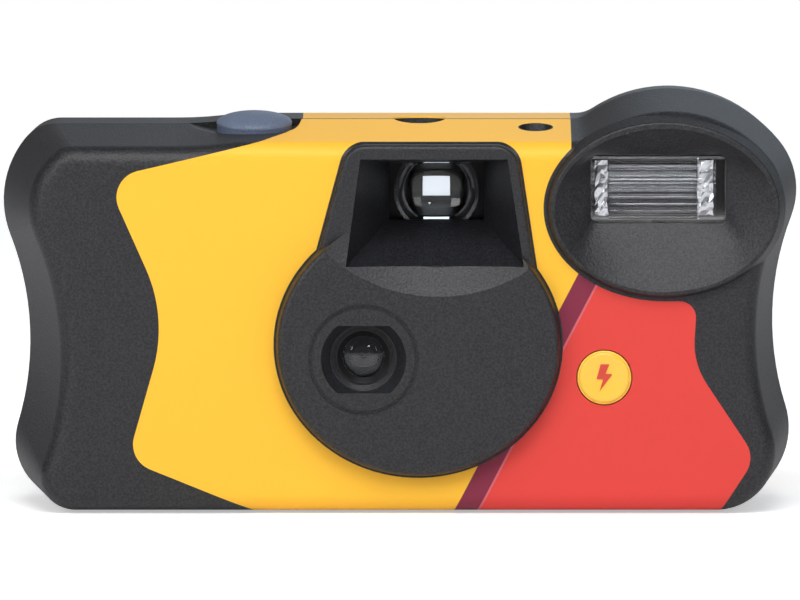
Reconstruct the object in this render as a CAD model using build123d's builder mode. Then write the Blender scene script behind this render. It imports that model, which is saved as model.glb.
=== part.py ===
from build123d import *
import os
from math import acos, atan2, degrees, radians, sin, sqrt

# Disposable film camera with a built-in flash, in millimetres.
# The front faces -Y, +X is to the right seen from the front, +Z is up.
# The origin is on the underside of the wrap label, below the seam of the covers.

os.makedirs("parts", exist_ok=True)

# Body outline at the seam, seen from the front
left_reach = 58.85
right_reach = 58.85
top_height = 57.0
left_top_drop = 0.7
left_top_height = top_height - left_top_drop
ramp_left_x = -33.0
ramp_right_x = -20.0
left_shoulder_r = 14.5
left_shoulder_drop = 12.0
left_shoulder_z = top_height - left_shoulder_drop
left_corner_r = 6.0
left_foot_inset = 1.7
left_foot_reach = left_reach - left_foot_inset
left_foot_r = 9.1
right_foot_inset = 1.05
right_foot_reach = right_reach - right_foot_inset
right_foot_r = 11.0
right_shoulder_r = 11.4
waist_r = 43.0
dome_inset = 18.95
dome_drop = 16.7
dome_x = right_reach - dome_inset
dome_z = top_height - dome_drop
dome_r = 21.2
dome_blend_r = 4.0

# Depths, drafts and walls of the two covers
front_depth = 16.5
rear_depth = 17.0
front_left_inset = 4.5
front_inset = 2.6
rear_side_inset = 0.8
rear_top_inset = 0.3
wall = 1.5
edge_r = 2.8
lip_wall = 0.6
lip_height = 1.2
lip_inset = 0.55
overrun = 1.0

# Running and seating gaps
fit_gap = 0.15
run_gap = 0.3
pin_gap = 0.05

# Lens disc and viewfinder hood, raised on the front cover
disc_x = 2.7
disc_z = 24.8
disc_rx = 20.7
disc_rz = 19.1
disc_rise = 2.8
hood_rise = 1.0
hood_top_drop = 2.6
hood_top_z = top_height - hood_top_drop
hood_top_left_x = -7.8
hood_top_right_x = 17.2
hood_low_z = 34.0
hood_low_left_x = -13.4
hood_low_right_x = 20.3
hood_corner_r = 3.6
hood_blend_r = 4.0
hood_tuck = 0.4
boss_edge_r = 0.7
scoop_x = 5.6
scoop_z = 56.6
scoop_r = 24.5
scoop_floor_r = 20.3

# Viewfinder
finder_x = 5.4
finder_z = 46.6
finder_width = 14.0
finder_height = 8.6
finder_wall = 1.2
mouth_top_z = 52.3
mouth_low_z = 36.5
mouth_top_left_x = -5.9
mouth_top_right_x = 15.9
mouth_low_left_x = -8.0
mouth_low_right_x = 18.3
funnel_end_y = -5.0
finder_end_y = 13.2
front_lens_seat_y = -2.0
rear_lens_seat_y = 10.4
front_lens_r = 6.3
front_lens_rim = 2.6
front_lens_hollow_share = 0.8
front_lens_hollow_r = 9.0
rear_lens_width = 9.0
rear_lens_height = 7.0
rear_lens_thick = 1.6
rear_lens_bulge_r = 22.0
lens_ledge = 0.9
eyepiece_width = 8.4
eyepiece_height = 6.4
eyepiece_bevel = 0.8
pressure_ribs = 4
pressure_rib = 1.0

# Taking lens, its retainer and the shutter
lens_x = -5.4
axis_z = 22.8
groove_r = 8.2
groove_width = 0.6
groove_depth = 0.35
recess_r = 6.3
recess_flat = 5.0
cone_end_r = 4.2
cone_end_y = -15.2
retainer_r = 6.4
retainer_bore_r = 3.1
retainer_mouth_r = 3.9
retainer_thick = 1.3
lens_flange_r = 4.4
lens_flange = 0.7
lens_front_r = 6.5
lens_back_r = 11.0
lens_bulge_edge_r = 3.0
shutter_plate_width = 19.0
shutter_plate_height = 18.0
shutter_plate_thick = 1.4
shutter_gap = 1.9
aperture_r = 1.5
blade_thick = 0.3
blade_r = 2.6
blade_arm = 1.6
blade_pivot_x = -11.0
blade_pivot_z = 30.5
blade_tail_z = 35.6
blade_pin_r = 0.9
blade_hub_r = 2.0

# Film path and cassette
film_y = 13.5
film_thick = 0.14
film_width = 35.0
gate_width = 36.0
gate_height = 24.0
chamber_wall = 1.2
perforation_pitch = 4.75
perforation_width = 2.0
perforation_height = 2.8
perforation_margin = 2.0
cassette_inset = 20.95
cassette_x = cassette_inset - left_reach
cassette_y = 2.6
cassette_r = 12.5
cassette_low_z = 1.5
cassette_length = 42.6
cassette_wall = 0.4
cap_skirt = 2.2
light_trap_depth = 1.7
light_trap_reach = 12.0
light_trap_slot = 0.5
spool_r = 5.5
spool_bore_r = 3.2
spool_rise = 2.2
spool_web = 0.8
key_depth = 3.0
wound_r = 6.05
roll_x = 25.0
roll_y = 4.6
roll_r = 10.5
roll_core_r = 5.2
roll_core_wall = 1.1
pivot_r = 2.0
chamber_low_z = 2.95
chamber_top_z = 42.3
chamber_open_y = 9.0
chamber_lip_share = 0.8
box_front = 6.0
deck_front_y = -5.6

# Thumbwheel, sprocket and frame counter
thumbwheel_r = 15.4
thumbwheel_drop = 10.5
thumbwheel_low_z = top_height - thumbwheel_drop
thumbwheel_height = 5.0
thumbwheel_web = 1.4
thumbwheel_rim = 2.4
thumbwheel_ribs = 48
thumbwheel_rib_r = 0.45
thumbwheel_hub_r = 2.9
thumbwheel_key = 1.2
thumbwheel_pin_r = 1.5
thumbwheel_pin = 1.6
thumbwheel_boss_r = 2.5
sprocket_x = -8.0
sprocket_r = 5.85
sprocket_teeth = 8
tooth_rise = 1.0
tooth_width = 1.5
sprocket_thick = 1.6
sprocket_shaft_r = 1.4
cam_r = 4.0
cam_notch_r = 1.2
cam_low_z = 41.1
cam_thick = 1.5
finger_r = 4.5
finger_hub_r = 2.6
finger_thick = 1.0
finger_drop = 3.5
finger_low_z = top_height - finger_drop
counter_x = 3.2
counter_y = 7.0
counter_r = 6.5
counter_drop = 1.2
counter_top_z = top_height - counter_drop
counter_disc = 1.2
counter_gear = 1.2
counter_teeth = 20
counter_tooth_r = 0.55
counter_pin_r = 1.2
counter_hole_r = 4.0
counter_hole_x = 2.9
counter_hole_y = 1.0

# Shutter button and charge button
button_x = -21.6
button_y = -4.5
button_rx = 5.6
button_ry = 4.1
button_rise = 1.4
button_top_z = top_height + button_rise
button_dome = 1.2
button_flange = 0.8
button_flange_thick = 0.8
button_travel = 1.2
button_stem_r = 1.5
dish_x = -22.7
dish_depth = 0.9
dish_reach = 8.2
dish_pad = 0.7
charge_x = 30.2
charge_z = 19.9
charge_r = 4.0
charge_proud = 0.2
charge_flange = 0.9
charge_flange_thick = 0.8
charge_stem_r = 1.6
charge_travel = 0.6
charge_stem_y = -11.9
charge_guide = 1.2

# Levers and springs on the mechanism deck
deck_z = 39.0
deck_thick = 1.2
lever_z = 41.1
lever_thick = 1.2
metering_x = -21.6
metering_y = 2.4
driver_x = -16.0
driver_y = -3.2
lever_hub_r = 2.1
lever_pin_r = 1.0
lever_arm = 1.7
driver_finger = 1.6
driver_finger_low_z = 33.5
spring_space = 2.8
spring_wire_r = 0.25
spring_r = 1.75
spring_turns = 4
spring_pitch = 0.62

# Flash
bezel_inset = 19.75
bezel_drop = 12.0
bezel_x = right_reach - bezel_inset
bezel_z = top_height - bezel_drop
bezel_rx = 17.9
bezel_rz = 13.8
bezel_rise = 1.5
bezel_draft = 1.0
rim_rx = 16.3
rim_rz = 12.1
rim_drop = 0.2
rim_z = bezel_z - rim_drop
rim_round = 0.4
bowl_corner_turn = 36.0
bowl_corner_spread = 5.0
window_shift_x = 0.9
window_shift_z = 2.6
window_x = bezel_x - window_shift_x
window_z = bezel_z + window_shift_z
window_width = 20.0
window_height = 10.2
window_corner_r = 1.1
bowl_floor_y = -13.6
bowl_wall = 1.2
window_flange = 1.3
window_flange_thick = 0.8
window_ribs = 13
reflector_width = 20.6
reflector_height = 9.4
reflector_depth = 5.0
reflector_wall = 0.4
tube_r = 1.5
tube_length = 27.0
tube_cap = 2.4
board_left_x = 6.0
board_right_x = 38.3
board_low_z = 4.0
board_top_z = 39.6
board_back_y = -8.0
board_thick = 1.2
board_notch_z = 30.0
board_notch_x = 20.5
transformer_width = 7.0
transformer_depth = 6.6
transformer_height = 10.0
transformer_core = 1.6
transformer_low_z = 8.0
board_part_shares = [(0.05, 0.1, 2.0, 1.0), (0.35, 0.15, 1.5, 2.0), (0.1, 0.6, 2.5, 1.2),
                     (0.87, 0.72, 1.2, 2.2)]
coil_r = 2.2
coil_length = 8.0
capacitor_inset = 13.95
capacitor_x = right_reach - capacitor_inset
capacitor_y = -8.7
capacitor_r = 6.0
capacitor_length = 26.0
capacitor_crimp = 0.5
lamp_x = 20.1
lamp_y = -5.4
lamp_r = 2.0
lamp_low_z = 43.8
lamp_round_share = 0.6
lamp_drop = 2.0
lamp_top_z = top_height - lamp_drop
lamp_hole_r = 2.6
lamp_collar = 1.0
leaf_width = 5.0
leaf_thick = 0.3

# Battery and contacts
battery_inset = 13.35
battery_x = right_reach - battery_inset
battery_y = 7.5
battery_r = 7.1
battery_low_z = 3.9
battery_length = 50.5
nub_r = 2.75
nub_height = 1.0
battery_edge_r = 0.5
contact_width = 6.0
contact_thick = 0.35

# Wrap label
label_thick = 0.2
label_gap = 0.3
label_top_left_x = -14.4
label_top_right_x = 25.3
label_low_left_x = -21.5
label_low_right_x = 47.4
label_back_z = 46.0
label_back_r = 5.0
label_corner_left = (-43.5, 49.4)
label_waist_left = (-34.3, 28.75)
label_foot_left = (-40.3, 7.6)
label_foot_right = (52.6, 8.0)
label_waist_right = (43.3, 22.0)
label_tab_right_x = 43.9
label_shoulder_drop = 0.8
label_shoulder_z = top_height - label_shoulder_drop
label_neck_r = 2.0
label_corner_r = 4.0
label_waist_left_r = 22.0
label_waist_right_r = 11.0
label_tab_r = 2.4

# Film door in the underside
door_inset = 6.85
door_width = 26.7
door_left_x = door_inset - left_reach
door_right_x = door_left_x + door_width
door_front_y = -10.2
door_back_y = 15.3
door_thick = 1.1
door_rise = 3.2
pip_x = -37.6
pip_y = -8.2
pip_width = 2.0
pip_height = 0.45


def block(x_span, y_span, z_span, mode=Mode.ADD):
    """A rectangular block between two values on each axis."""
    centre = [(span[0] + span[1]) / 2 for span in (x_span, y_span, z_span)]
    size = [abs(span[1] - span[0]) for span in (x_span, y_span, z_span)]
    with Locations(Vector(*centre)):
        Box(*size, mode=mode)


def post(x, y, z_span, radius, mode=Mode.ADD):
    """An upright round post."""
    with Locations((x, y, sum(z_span) / 2)):
        Cylinder(radius, abs(z_span[1] - z_span[0]), mode=mode)


def barrel(x, z, y_span, radius, mode=Mode.ADD):
    """A round bar that lies along Y."""
    with Locations(Location((x, sum(y_span) / 2, z), (90, 0, 0))):
        Cylinder(radius, abs(y_span[1] - y_span[0]), mode=mode)


def plane_at(y):
    """A drawing plane that faces the front, at this depth."""
    return Plane.XZ.offset(-y)


def crossing(first, first_r, second, second_r, side):
    """Where circles round two points cross, on the left side of the way from first to second for 1."""
    span = (second - first).length
    along = (first_r**2 - second_r**2 + span**2) / (2 * span)
    across = sqrt(first_r**2 - along**2)
    step = (second - first).normalized()
    return first + step * along + Vector(-step.Y, step.X) * across * side


def rim_point(centre, target, radius):
    """The point of a circle that lies towards the target."""
    return centre + (target - centre).normalized() * radius


def bend(centre, start, end):
    """An arc of less than half a turn round a centre."""
    radius = (start - centre).length
    middle = (start - centre) + (end - centre)
    ThreePointArc(start, centre + middle.normalized() * radius, end)


def body_face(y, left, top, right, bottom=0):
    """The body outline at one depth, drawn in from the seam outline by these insets."""
    foot_r = right_foot_r - right
    foot = Vector(right_foot_reach - right_foot_r, bottom + foot_r)
    shoulder_x = right_reach - right_shoulder_r
    dome = Vector(dome_x, dome_z)
    lift = sqrt((dome_r - right_shoulder_r) ** 2 - (shoulder_x - dome_x) ** 2)
    shoulder = Vector(shoulder_x, dome_z + lift)
    waist = crossing(foot, waist_r + right_foot_r, shoulder, waist_r + right_shoulder_r, -1)
    blend_r = dome_blend_r + right
    blend_z = top_height - top + blend_r
    blend_reach = sqrt((dome_r - right + blend_r) ** 2 - (blend_z - dome_z) ** 2)
    blend = Vector(dome_x - blend_reach, blend_z)
    crest = top_height - top
    left_crest = left_top_height - top
    ramp_r = ((ramp_right_x - ramp_left_x) ** 2 + (crest - left_crest) ** 2) / (4 * (crest - left_crest))
    ramp_middle = Vector((ramp_left_x + ramp_right_x) / 2, (crest + left_crest) / 2)
    left_shoulder = Vector(left_shoulder_r - left_reach, left_shoulder_z)
    shoulder_left_r = left_shoulder_r - left
    corner_r = left_corner_r - top
    corner_drop = left_crest - corner_r - left_shoulder_z
    corner_shift = sqrt((shoulder_left_r - corner_r) ** 2 - corner_drop**2)
    corner = left_shoulder + Vector(-corner_shift, corner_drop)
    foot_left_r = left_foot_r - left
    foot_left = Vector(left_foot_r - left_foot_reach, bottom + foot_left_r)
    reach_up = waist_r + left_shoulder_r
    waist_left = crossing(left_shoulder, reach_up, foot_left, waist_r + left_foot_r, -1)
    bottom_left = Vector(foot_left.X, bottom)
    bottom_right = Vector(foot.X, bottom)
    foot_top = rim_point(foot, waist, foot_r)
    waist_low = rim_point(waist, foot, (waist - foot_top).length)
    shoulder_low = rim_point(waist, shoulder, (waist - foot_top).length)
    shoulder_top = rim_point(dome, shoulder, dome_r - right)
    dome_left = rim_point(dome, blend, dome_r - right)
    crest_right = Vector(blend.X, crest)
    ramp_right = Vector(ramp_right_x, crest)
    ramp_left = Vector(ramp_left_x, left_crest)
    corner_top = Vector(corner.X, left_crest)
    corner_left = rim_point(left_shoulder, corner, shoulder_left_r)
    shoulder_left = rim_point(left_shoulder, waist_left, shoulder_left_r)
    foot_left_top = rim_point(waist_left, foot_left, (waist_left - shoulder_left).length)
    with BuildSketch(plane_at(y)) as outline:
        with BuildLine():
            Line(bottom_left, bottom_right)
            bend(foot, bottom_right, waist_low)
            bend(waist, waist_low, shoulder_low)
            bend(shoulder, shoulder_low, shoulder_top)
            bend(dome, shoulder_top, dome_left)
            bend(blend, dome_left, crest_right)
            Line(crest_right, ramp_right)
            bend(ramp_right - Vector(0, ramp_r), ramp_right, ramp_middle)
            bend(ramp_left + Vector(0, ramp_r), ramp_middle, ramp_left)
            Line(ramp_left, corner_top)
            bend(corner, corner_top, corner_left)
            bend(left_shoulder, corner_left, shoulder_left)
            bend(waist_left, shoulder_left, foot_left_top)
            bend(foot_left, foot_left_top, bottom_left)
        make_face()
    return outline.sketch


def hood_face(y, grow=0):
    """The outline of the viewfinder hood, which runs into the lens disc in two hollow curves."""
    corners = [(hood_low_left_x - grow, hood_low_z), (hood_low_right_x + grow, hood_low_z),
               (hood_top_right_x + grow, hood_top_z + grow), (hood_top_left_x - grow, hood_top_z + grow)]
    with BuildSketch(plane_at(y)) as outline:
        with BuildLine():
            FilletPolyline(*corners, radius=[0, 0, hood_corner_r, hood_corner_r], close=True)
        make_face()
        with Locations((disc_x, disc_z)):
            Ellipse(disc_rx - hood_tuck + grow, disc_rz - hood_tuck + grow)
        meeting = outline.vertices().filter_by_position(Axis.Y, disc_z + wall, hood_top_z - 2 * hood_corner_r)
        fillet(meeting, hood_blend_r)
    return outline.sketch


def circle_face(y, x, z, radius):
    """An upright circle at one depth."""
    with BuildSketch(plane_at(y)) as outline:
        with Locations((x, z)):
            Circle(radius)
    return outline.sketch


def disc_face(y, inset):
    """The outline of the lens disc alone."""
    with BuildSketch(plane_at(y)) as outline:
        with Locations((disc_x, disc_z)):
            Ellipse(disc_rx - inset, disc_rz - inset)
    return outline.sketch


def ellipse_face(y, x, z, rx, rz):
    """An upright ellipse at one depth."""
    with BuildSketch(plane_at(y)) as outline:
        with Locations((x, z)):
            Ellipse(rx, rz)
    return outline.sketch


def oval_face(z, x, y, rx, ry):
    """A level ellipse at one height."""
    with BuildSketch(Plane.XY.offset(z)) as outline:
        with Locations((x, y)):
            Ellipse(rx, ry)
    return outline.sketch


def mouth_face(y, grow):
    """The front opening of the viewfinder funnel, grown by a wall."""
    corners = [(mouth_low_left_x - grow, mouth_low_z - grow),
               (mouth_low_right_x + grow, mouth_low_z - grow),
               (mouth_top_right_x + grow, mouth_top_z + grow),
               (mouth_top_left_x - grow, mouth_top_z + grow)]
    with BuildSketch(plane_at(y)) as outline:
        with BuildLine():
            Polyline(*corners, close=True)
        make_face()
    return outline.sketch


def rect_face(y, x, z, width, height):
    """An upright rectangle at one depth."""
    with BuildSketch(plane_at(y)) as outline:
        with Locations((x, z)):
            Rectangle(width, height)
    return outline.sketch


def rim_face(y, grow):
    """The round rim of the flash bowl, in eight arcs that answer the window's eight edges."""
    near = bowl_corner_turn - bowl_corner_spread
    far = bowl_corner_turn + bowl_corner_spread
    turns = [near, far, 180 - far, 180 - near, 180 + near, 180 + far, 360 - far, 360 - near, 360 + near]
    with BuildSketch(plane_at(y)) as outline:
        with BuildLine():
            for start, end in zip(turns[:-1], turns[1:]):
                EllipticalCenterArc((bezel_x, rim_z), rim_rx + grow, rim_rz + grow, start,
                                    arc_size=end - start)
        make_face()
    return outline.sketch


def window_face(y, grow):
    """The rounded flash window opening, with four corners and four sides."""
    with BuildSketch(plane_at(y)) as outline:
        with Locations((window_x, window_z)):
            RectangleRounded(window_width + 2 * grow, window_height + 2 * grow, window_corner_r + grow)
    return outline.sketch


def label_front_face(y):
    """The label's die-cut outline on the front and on the front part of the top."""
    crest = top_height + overrun
    tab_z = bezel_z - bezel_rz
    arc_turn = degrees(acos((label_top_right_x - bezel_x) / bezel_rx)) - 270
    arc_top = bezel_z + bezel_rz * sin(radians(arc_turn + 270))
    low_left = (label_low_left_x, 0)
    low_right = (label_low_right_x, 0)
    with BuildSketch(plane_at(y)) as outline:
        with BuildLine():
            FilletPolyline((label_top_left_x, crest), (label_top_left_x, label_shoulder_z),
                           label_corner_left,
                           label_waist_left, label_foot_left, low_left,
                           radius=[label_neck_r, label_corner_r, label_waist_left_r, label_corner_r])
            Polyline(low_left, (label_low_left_x, -overrun), (label_low_right_x, -overrun), low_right)
            FilletPolyline(low_right, label_foot_right, label_waist_right,
                           (label_tab_right_x, tab_z), (bezel_x, tab_z),
                           radius=[label_corner_r, label_waist_right_r, label_tab_r])
            EllipticalCenterArc((bezel_x, bezel_z), bezel_rx, bezel_rz, 270, arc_size=arc_turn)
            Polyline((label_top_right_x, arc_top), (label_top_right_x, crest), (label_top_left_x, crest))
        make_face()
    return outline.sketch


def label_back_face(y):
    """The label's outline on the back, between the top strip and the underside."""
    crest = top_height + overrun
    turns = [(label_top_left_x, crest), (label_top_left_x, label_back_z), (label_low_left_x, label_back_z),
             (label_low_left_x, -overrun), (label_low_right_x, -overrun),
             (label_low_right_x, label_back_z),
             (label_top_right_x, label_back_z), (label_top_right_x, crest)]
    with BuildSketch(plane_at(y)) as outline:
        with BuildLine():
            rounds = [0, label_back_r, label_back_r, 0]
            FilletPolyline(*turns, radius=rounds + rounds, close=True)
        make_face()
    return outline.sketch


def label_profile(inset):
    """The section of the label zone seen from the side, which is the same all along the label."""
    front_reach = front_depth - inset
    back_reach = rear_depth - inset
    crest = top_height - inset
    corners = [(-front_reach, inset), (back_reach, inset),
               (back_reach, crest - rear_top_inset * back_reach / rear_depth), (0, crest),
               (-front_reach, crest - front_inset * front_reach / front_depth)]
    with BuildSketch(Plane.YZ.offset(label_foot_left[0] + label_corner_left[0])) as outline:
        with BuildLine():
            Polyline(*corners, close=True)
        make_face()
        fillet(outline.vertices().filter_by(lambda corner: abs(corner.X) > edge_r), edge_r - inset)
    return outline.sketch


def cover_body(y, left, top, side):
    """A solid cover from the seam to its outer face, with that face's edge rounded."""
    with BuildPart() as cover:
        loft([body_face(0, 0, 0, 0), body_face(y, left, top, side)], ruled=True)
        outer_group = 0 if y < 0 else -1
        fillet(cover.edges().group_by(Axis.Y)[outer_group], edge_r)
    return cover.part


def cover_hollow(y, left, top, side):
    """The space inside a cover, one wall in from its outside."""
    inner_y = y + wall if y < 0 else y - wall
    with BuildPart() as hollow:
        loft([body_face(0, wall, wall, wall, wall),
              body_face(inner_y, left + wall, top + wall, side + wall, wall)], ruled=True)
    return hollow.part


# Wrap label: one die-cut sleeve round the front, top, back and underside
with BuildPart() as label_die:
    extrude(label_front_face(0), amount=front_depth + overrun)
    extrude(label_back_face(0), amount=-rear_depth - overrun)

with BuildPart() as label_holes:
    extrude(disc_face(0, -boss_edge_r), amount=front_depth + overrun)
    extrude(hood_face(0, label_gap), amount=front_depth + overrun)
    barrel(charge_x, charge_z, (0, -front_depth - overrun), charge_r + fit_gap)
    post(lamp_x, lamp_y, (axis_z, top_height + overrun), lamp_hole_r)
    post(counter_hole_x, counter_hole_y, (axis_z, top_height + overrun), counter_hole_r)
    block((finder_x - eyepiece_width / 2 - eyepiece_bevel, finder_x + eyepiece_width / 2 + eyepiece_bevel),
          (0, rear_depth + overrun),
          (finder_z - eyepiece_height / 2 - eyepiece_bevel,
           finder_z + eyepiece_height / 2 + eyepiece_bevel))

label_span = label_foot_right[0] - 2 * label_corner_left[0] - label_foot_left[0] + overrun
with BuildPart() as wrap_label:
    extrude(label_profile(0), amount=label_span)
    extrude(label_profile(label_thick), amount=label_span, mode=Mode.SUBTRACT)
    add(label_die.part, mode=Mode.INTERSECT)
    add(label_holes.part, mode=Mode.SUBTRACT)

# The shallow recess that the label lies in, cut out past the covers
with BuildPart() as label_recess:
    extrude(label_profile(-overrun / 2), amount=label_span)
    extrude(label_profile(label_thick), amount=label_span, mode=Mode.SUBTRACT)
    add(label_die.part, mode=Mode.INTERSECT)
    add(label_holes.part, mode=Mode.SUBTRACT)

wrap_label.part.label = "wrap_label"
export_step(wrap_label.part, "parts/wrap_label.step")


front_hollow = cover_hollow(-front_depth, front_left_inset, front_inset, front_inset)
rear_hollow = cover_hollow(rear_depth, rear_side_inset, rear_top_inset, rear_side_inset)

# Front cover, outside: the drafted body with the lens disc, the viewfinder hood and the flash bezel
boss_root_y = -front_depth + wall
thumbwheel_top_z = thumbwheel_low_z + thumbwheel_height
spool_top_z = cassette_low_z + cassette_length + spool_rise
shutter_back_y = cone_end_y + fit_gap + retainer_thick + lens_flange + shutter_plate_thick + shutter_gap
disc_y = -front_depth - disc_rise
hood_y = -front_depth - hood_rise
bezel_y = -front_depth - bezel_rise

with BuildPart() as lens_disc:
    loft([disc_face(boss_root_y, -boss_edge_r), disc_face(disc_y, 0)], ruled=True)
    fillet(lens_disc.edges().group_by(Axis.Y)[0], boss_edge_r)
    loft([circle_face(disc_y, scoop_x, scoop_z, scoop_r),
          circle_face(hood_y, scoop_x, scoop_z, scoop_floor_r)], ruled=True, mode=Mode.SUBTRACT)

with BuildPart() as hood:
    extrude(hood_face(edge_r - front_depth), amount=hood_rise + edge_r)
    fillet(hood.edges().group_by(Axis.Y)[0], boss_edge_r)

with BuildPart() as bezel:
    loft([ellipse_face(boss_root_y, bezel_x, bezel_z, bezel_rx, bezel_rz),
          ellipse_face(bezel_y, bezel_x, bezel_z, bezel_rx - bezel_draft,
                       bezel_rz - bezel_draft)], ruled=True)
    fillet(bezel.edges().group_by(Axis.Y)[0], rim_round)

with BuildPart() as front_outside:
    add(cover_body(-front_depth, front_left_inset, front_inset, front_inset))
    add(lens_disc.part)
    add(hood.part)
    add(bezel.part)

# Front cover, inside: the funnel, the flash bowl, the lens tube and the guides for what moves or shows
front_wall_y = -front_depth + wall
under_top_z = top_height - wall
pad_low_z = left_top_height - wall - dish_pad
lens_tube_r = recess_r + wall

with BuildPart() as front_inside:
    loft([mouth_face(hood_y, finder_wall),
          rect_face(funnel_end_y, finder_x, finder_z, finder_width + 2 * finder_wall,
                    finder_height + 2 * finder_wall)], ruled=True)
    loft([rim_face(bezel_y, 0), window_face(bowl_floor_y + bowl_wall, bowl_wall)], ruled=True)
    barrel(lens_x, axis_z, (disc_y + boss_edge_r, cone_end_y), lens_tube_r)
    extrude(oval_face(pad_low_z, button_x, button_y, button_rx + wall, button_ry + wall),
            amount=top_height - pad_low_z)
    post(lamp_x, lamp_y, (lamp_top_z - lamp_collar, top_height), lamp_r + fit_gap + lamp_collar)
    barrel(charge_x, charge_z, (-front_depth, front_wall_y + charge_guide),
           charge_r + fit_gap + lamp_collar)
    add(front_outside.part, mode=Mode.INTERSECT)

# What the front cover leaves open
with BuildPart() as lens_recess:
    loft([circle_face(disc_y, lens_x, axis_z, recess_r),
          circle_face(cone_end_y, lens_x, axis_z, cone_end_r)],
         ruled=True)
    block((lens_x - recess_r, lens_x + recess_r), (disc_y, cone_end_y),
          (axis_z - recess_flat, axis_z + recess_flat), mode=Mode.INTERSECT)

with BuildPart() as lens_groove:
    barrel(lens_x, axis_z, (disc_y + groove_depth, disc_y - overrun), groove_r)
    barrel(lens_x, axis_z, (disc_y + groove_depth, disc_y - overrun), groove_r - groove_width,
           mode=Mode.SUBTRACT)

with BuildPart() as disc_hollow:
    extrude(disc_face(front_wall_y, wall + boss_edge_r), amount=disc_rise - wall / 2)
    block((-left_reach, right_reach), (disc_y, 0), (0, mouth_low_z - 2 * wall), mode=Mode.INTERSECT)

with BuildPart() as button_dish:
    dish_r = (dish_reach**2 + dish_depth**2) / (2 * dish_depth)
    dish_surface_z = top_height - (top_height - left_top_height) / 2 + button_y * front_inset / front_depth
    with Locations((dish_x, button_y, dish_surface_z - dish_depth + dish_r)):
        Sphere(dish_r)

with BuildPart() as lamp_hole:
    with BuildSketch(Plane.XY.offset(lamp_top_z)) as collar_bore:
        with Locations((lamp_x, lamp_y)):
            Circle(lamp_r + fit_gap)
    extrude(amount=-lamp_top_z + lamp_low_z)
    with BuildSketch(Plane.XY.offset(top_height)) as mouth:
        with Locations((lamp_x, lamp_y)):
            Circle(lamp_hole_r)
    loft([collar_bore.sketch, mouth.sketch], ruled=True)

with BuildPart() as door_space:
    block((door_left_x - run_gap, door_right_x + fit_gap), (door_front_y - fit_gap, door_back_y + fit_gap),
          (-overrun, door_rise + fit_gap))

with BuildPart() as front_cover:
    add(front_outside.part)
    add(front_hollow, mode=Mode.SUBTRACT)
    add(disc_hollow.part, mode=Mode.SUBTRACT)
    add(front_inside.part)
    loft([mouth_face(hood_y, 0), rect_face(funnel_end_y, finder_x, finder_z, finder_width, finder_height)],
         ruled=True, mode=Mode.SUBTRACT)
    extrude(mouth_face(hood_y, 0), amount=disc_rise - hood_rise + overrun, mode=Mode.SUBTRACT)
    loft([rim_face(bezel_y, 0), window_face(bowl_floor_y, 0)], ruled=True, mode=Mode.SUBTRACT)
    extrude(window_face(bowl_floor_y, 0), amount=-bowl_wall - overrun, mode=Mode.SUBTRACT)
    add(lens_recess.part, mode=Mode.SUBTRACT)
    add(lens_groove.part, mode=Mode.SUBTRACT)
    add(button_dish.part, mode=Mode.SUBTRACT)
    extrude(oval_face(pad_low_z - overrun, button_x, button_y, button_rx + fit_gap, button_ry + fit_gap),
            amount=button_top_z - pad_low_z, mode=Mode.SUBTRACT)
    add(lamp_hole.part, mode=Mode.SUBTRACT)
    post(counter_hole_x, counter_hole_y, (counter_top_z - counter_disc, top_height + overrun),
         counter_hole_r,
         mode=Mode.SUBTRACT)
    barrel(charge_x, charge_z, (-front_depth - overrun, front_wall_y + charge_guide), charge_r + fit_gap,
           mode=Mode.SUBTRACT)
    add(door_space.part, mode=Mode.SUBTRACT)
    add(label_recess.part, mode=Mode.SUBTRACT)
front_cover.part.label = "front_cover"
export_step(front_cover.part, "parts/front_cover.step")

# Rear cover: the register lip, the thumbwheel slot, the eyepiece and the ribs that press the film flat
rear_wall_y = rear_depth - wall
with BuildPart() as rear_lip:
    extrude(body_face(0, wall + lip_inset, wall + lip_inset, wall + lip_inset, wall + lip_inset),
            amount=lip_height)
    extrude(body_face(0, wall, wall, wall, wall), amount=-wall)
    lip_bore = wall + lip_inset + lip_wall
    extrude(body_face(lip_bore, lip_bore, lip_bore, lip_bore, lip_bore), amount=lip_height + 2 * lip_bore,
            mode=Mode.SUBTRACT)
    block((button_x - button_rx - 2 * wall, button_x + button_rx + 2 * wall), (-lip_height, 0),
          (pad_low_z - 2 * wall, top_height), mode=Mode.SUBTRACT)

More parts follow.
